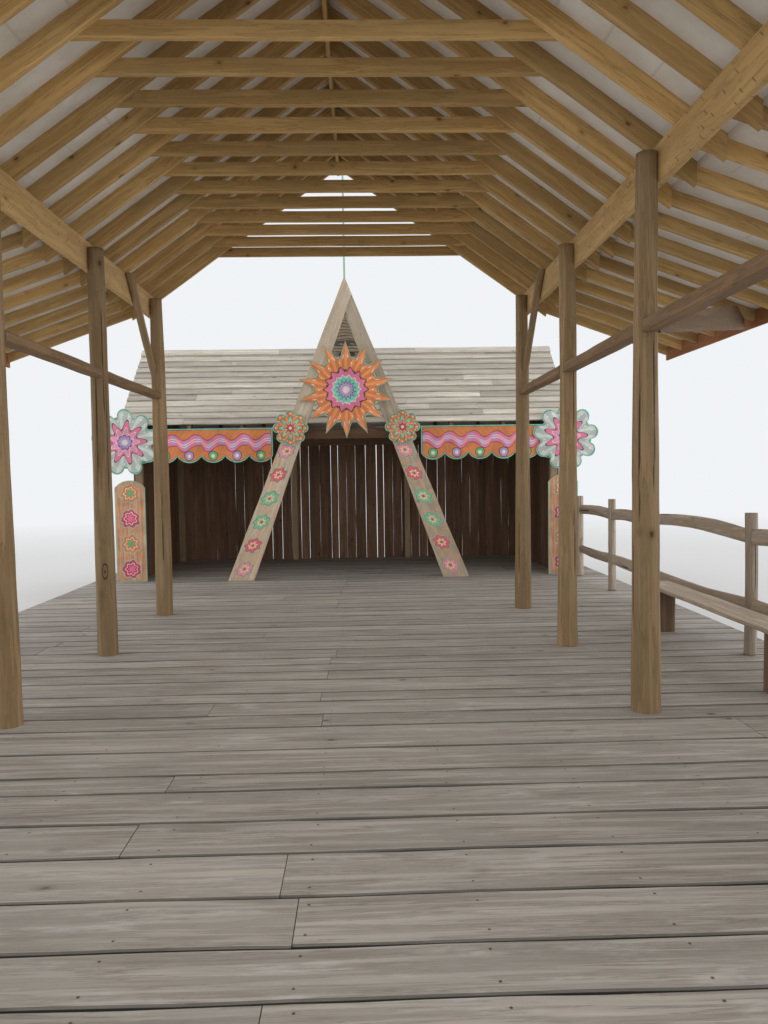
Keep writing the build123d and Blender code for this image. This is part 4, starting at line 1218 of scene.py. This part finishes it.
# %% Boards of the stage
top_line = math.pi / 2
for side_name, side in sides:
    low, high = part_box("end_roundels")
    round_board("roundel_" + side_name, "end_roundels", roundel_paint, side * 3.2, 2.32, low.y,
                lambda angle: lobes_radius(angle, 0.38, 9, 0.105, top_line))
    low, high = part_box("painted_trim_" + side_name)
    trim_from, trim_to, trim_bottom = 1.08, 3.15, high.z - 0.4
    chord, drop_height = (trim_to - trim_from) / 6, 0.095
    arc = (chord ** 2 / 4 + drop_height ** 2) / (2 * drop_height)

    def scallops(x):
        """Lower edge of a trim board: one arc of a circle under each sixth of it."""
        off = (abs(x) - trim_from) % chord - chord / 2
        off = np.where(np.isclose(abs(x), trim_to), chord / 2, off)
        return trim_bottom - drop_height + arc - np.sqrt(arc ** 2 - off ** 2)

    long_board("trim_" + side_name, "painted_trim_" + side_name, trim_paint, side * trim_from,
               side * trim_to, scallops, lambda x: np.full(x.shape, high.z), low.y, 361,
               (0, 0.08, 0.5, 0.92, 1), 6)
    low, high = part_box("pillar_boards")
    half = 0.22
    head_arc = (half ** 2 + (half / 2) ** 2) / half

    def arch(x):
        """Upper edge of a pillar board: an arc over its whole width."""
        return high.z - head_arc + np.sqrt(head_arc ** 2 - (abs(x) - (high.x - half)) ** 2)

    long_board("pillar_" + side_name, "pillar_boards", pillar_paint, side * (high.x - 2 * half),
               side * high.x, lambda x: np.full(x.shape, low.z), arch, low.y, 81,
               (0, 0.012, 0.5, 0.97, 0.985, 1), 1)
low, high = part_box("sun_board")
round_board("sun_dressed", "sun_board", sun_paint, 0.0, (low.z + high.z) / 2, low.y,
            lambda angle: rays_radius(angle, 0.47, 14, 0.70, 0.409, 0.19, top_line), angles=1120)
low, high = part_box("leg_rosettes")
for (side_name, side), behind in zip(sides, (0.0, 0.05)):
    round_board("rosette_" + side_name, "leg_rosettes", rosette_paint, side * (high.x - 0.258),
                (low.z + high.z) / 2, low.y + behind,
                lambda angle: lobes_radius(angle, 0.19, 8, 0.068, 0.0), angles=480)

# %% [markdown]
# ## Fence and bench
# The fence is cleft wood: split logs for rails, which are deeper than they are wide and
# bend as they grew. The same tube function makes them, pressed flat and arched.

# %% Fence
fence_wood = wood("cleft_wood", (0.50, 0.41, 0.31), (0.24, 0.18, 0.125), (0.38, 0.32, 0.26), knots=0.08,
                  knot_scale=5.0, weather=0.7, contrast=0.7, tone_spread=0.16, bump=0.5, scars=True)
block_wood = wood("bench_block", (0.25, 0.15, 0.09), (0.11, 0.065, 0.04), (0.17, 0.11, 0.075), weather=0.6)
posts_low, posts_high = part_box("fence_posts")
fence_x = (posts_low.x + posts_high.x) / 2
fence_end, from_end = 3.97, np.array([0.17, 1.62, 2.67, 5.12, 7.57, 10.02])
fence_rows = fence_end - from_end
fence_posts = logs("fence_posts_dressed", at(fence_x, fence_rows, posts_low.z),
                   at(fence_x, fence_rows, posts_high.z), 0.05, 0.048, sway=0.006, lumps=0.004,
                   stations=60, ring=40)
finish(fence_posts, fence_wood, "fence_wood", "fence_posts")
rail_heights, rail_bows, longest_bay, in_post = [[0.40], [0.965]], [[-0.03], [0.04]], 2.45, 0.036
near_y, far_y = fence_rows[1:], fence_rows[:-1]
starts, ends = (at(fence_x, y, deck_top + np.array(rail_heights)).reshape(-1, 3)
                for y in (near_y + in_post, far_y - in_post))
rail_arch = (np.array(rail_bows) * (far_y - near_y) / longest_bay).ravel()
fence_rails = logs("fence_rails_dressed", starts, ends, 0.068, 0.063, sway=0.012, lumps=0.007,
                   stations=70, ring=24, wobble=0.004, flatten=0.4, arch=rail_arch)
finish(fence_rails, fence_wood, "fence_wood", "fence_rails")

# %% Bench
along_box("bench_dressed", "bench_seat", fence_wood, "fence_wood", less=(0.012, 0.004),
          round_edge=0.01, stations=90, wavy=0.006, bow=0.002)
low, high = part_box("bench_blocks")
block_length = 0.16
block_y = np.array([low.y + block_length / 2, high.y - block_length / 2])
starts, ends = (at((low.x + high.x) / 2, block_y, z) for z in (low.z, high.z))
blocks = bars("bench_blocks_dressed", starts, ends, (1, 0, 0), high.x - low.x, block_length,
              round_edge=0.02, stations=24, wavy=0.003)
finish(blocks, block_wood, "fence_wood", "bench_blocks")

# %% [markdown]
# ## Cowl, neck and mast
# The cowl is wound from strips. They could be laid one by one, but only their edges show,
# so one surface will do: a straight taper with a ripple for each turn. It is hollow, with
# a ceiling that rests on the neck, and its rim is cut to sit astride the ridge. The neck
# below it stays as it is, in dark wood, and the mast gets its paint.

# %% Cowl
straw = start_material("wound_strips")
strands = noise(here(), detail=5.0, stretch=(9, 9, 140))
# The grooves between the turns are darkened nearly to black: painted shade in the recesses.
dip = fade(fact("sunk"), 0.35, 0.85, 0.0, 0.85)
colour = mix(fade(strands, 0.32, 0.68), (0.12, 0.09, 0.055), (0.34, 0.27, 0.18))
surface(mix(dip, colour, (0.035, 0.025, 0.018)), 0.8, strands, 0.5, 0.006)

low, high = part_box("cowl")
turns, rows, ring = 17, 205, 96
rim_radius, tip_radius, groove, wall, ceiling_radius = 0.30, 0.058, 0.015, 0.008, 0.255
share = np.linspace(0, 1, rows)[:, None]
angle = (np.arange(ring) / ring * 2 * np.pi)[None, :]
turn_phase = share * turns + angle / (2 * np.pi) + 0.12 * np.sin(3 * angle + 9 * share)
sunk = (1 - np.abs(np.sin(np.pi * turn_phase))) ** 1.5
radius = rim_radius + (tip_radius - rim_radius) * share - groove * sunk
radius = radius + 0.002 * np.sin(9 * angle + 40 * share)
ridge_top, deepest = ridge_z + 0.05, 0.165
rim = ridge_top - np.minimum(deepest, hut_slope * np.abs(rim_radius * np.sin(angle)))
radius = np.concatenate([0 * angle + ceiling_radius, 0 * angle + rim_radius - groove - wall, radius])
z = np.concatenate([0 * angle + low.z + 0.002, rim, rim + (high.z - rim) * share])
points = at(radius * np.cos(angle), (low.y + high.y) / 2 + radius * np.sin(angle), z)
sunk = np.concatenate([np.ones((2, ring)), sunk])
cowl = put_mesh("cowl_dressed", points, tube_faces(1, rows + 2, ring), {"sunk": sunk}, smooth=True)
finish(cowl, straw, "straw", "cowl")

# %% Neck and mast
recoat("cowl_neck", wood("neck_wood", (0.20, 0.15, 0.11), (0.10, 0.07, 0.05), (0.15, 0.11, 0.08),
                         knots=0.0, turned=(0, math.pi / 2, 0)))
mast_paint = start_material("mast_paint")
surface(mix(fade(noise(here(), 60.0, 5.0), 0.62, 0.66), (0.34, 0.55, 0.46), (0.30, 0.24, 0.18)), 0.5)
recoat("mast", mast_paint)
print("materials", len(bpy.data.materials))

# %% [markdown]
# ## Light
# The hall is deep and low, so its middle gets little of the even light outside. Wide soft
# lamps stand at the open sides and at the end behind the camera, and two more inside the
# roof stand for the light that the ground and the deck throw back. They give each surface
# about as much as it would get in the open. They don't light the floor, which has the sky.


# %% Lamps
def soft_lamp(name, place, toward, size, radiance):
    """A wide soft lamp. Its power is pi times its area times the radiance it should have."""
    lamp = bpy.data.lights.new(name, "AREA")
    lamp.shape = "RECTANGLE"
    lamp.size, lamp.size_y = size
    lamp.energy = math.pi * size[0] * size[1] * radiance
    holder = bpy.data.objects.new(name, lamp)
    bpy.context.scene.collection.objects.link(holder)
    holder.location = place
    holder.rotation_euler = (Vector(toward) - Vector(place)).to_track_quat("-Z", "Y").to_euler()
    holder.visible_camera = False
    return holder


lamps = [
    soft_lamp("lamp_end", (0.6, -13.5, 3.4), (0, -2, 2.2), (8, 4.5), 1.4),
    soft_lamp("lamp_left", (-9.5, -2.5, 2.8), (0, -2.5, 2.6), (11, 4.5), 0.8),
    soft_lamp("lamp_right", (9.5, -2.5, 2.8), (0, -2.5, 2.6), (11, 4.5), 1.4),
    soft_lamp("lamp_up", (0.0, -2.7, 0.9), (0, -2.7, 4), (3.4, 7.5), 0.22),
    soft_lamp("lamp_down", (0.0, -2.7, 3.9), (0, -2.7, 0), (2.6, 7.5), 0.6),
]

print("lamps", len(lamps))

# %% Sky
backdrop = (0.88, 0.90, 0.92)
world = bpy.data.worlds.new("sky")
bpy.context.scene.world = world
world.use_nodes = True
tree = world.node_tree
tree.nodes.clear()
rays = step("LightPath")
seen = rays["Is Camera Ray"].math("MAXIMUM", rays["Is Glossy Ray"])
seen = seen.math("MAXIMUM", rays["Is Transmission Ray"])
step("OutputWorld", i0=step("Background", Color=mix(seen, (0.97, 0.98, 1.0), backdrop), Strength=1.0))

# %% Floor
bpy.ops.mesh.primitive_plane_add(size=60)
floor = bpy.context.object
floor.name = "floor"
pale_floor = start_material("pale_floor")
away = step("VectorMath", {"operation": "LENGTH"}, i0=here())["Value"]
pale = step("BsdfPrincipled", Base_Color=(0.74, 0.735, 0.72), Roughness=0.9)
haze = step("Emission", Color=backdrop, Strength=1.0)
step("OutputMaterial", i0=step("MixShader", i0=fade(away, 13.0, 27.0), i1=pale, i2=haze))
floor.data.materials.append(pale_floor)
sky_lit = bpy.data.collections.new("lit_by_the_sky_only")
sky_lit.objects.link(floor)
sky_lit.collection_objects[0].light_linking.link_state = "EXCLUDE"
for lamp in lamps:
    lamp.light_linking.receiver_collection = sky_lit

# %% The end
bpy.context.scene.view_settings.view_transform = "Standard"
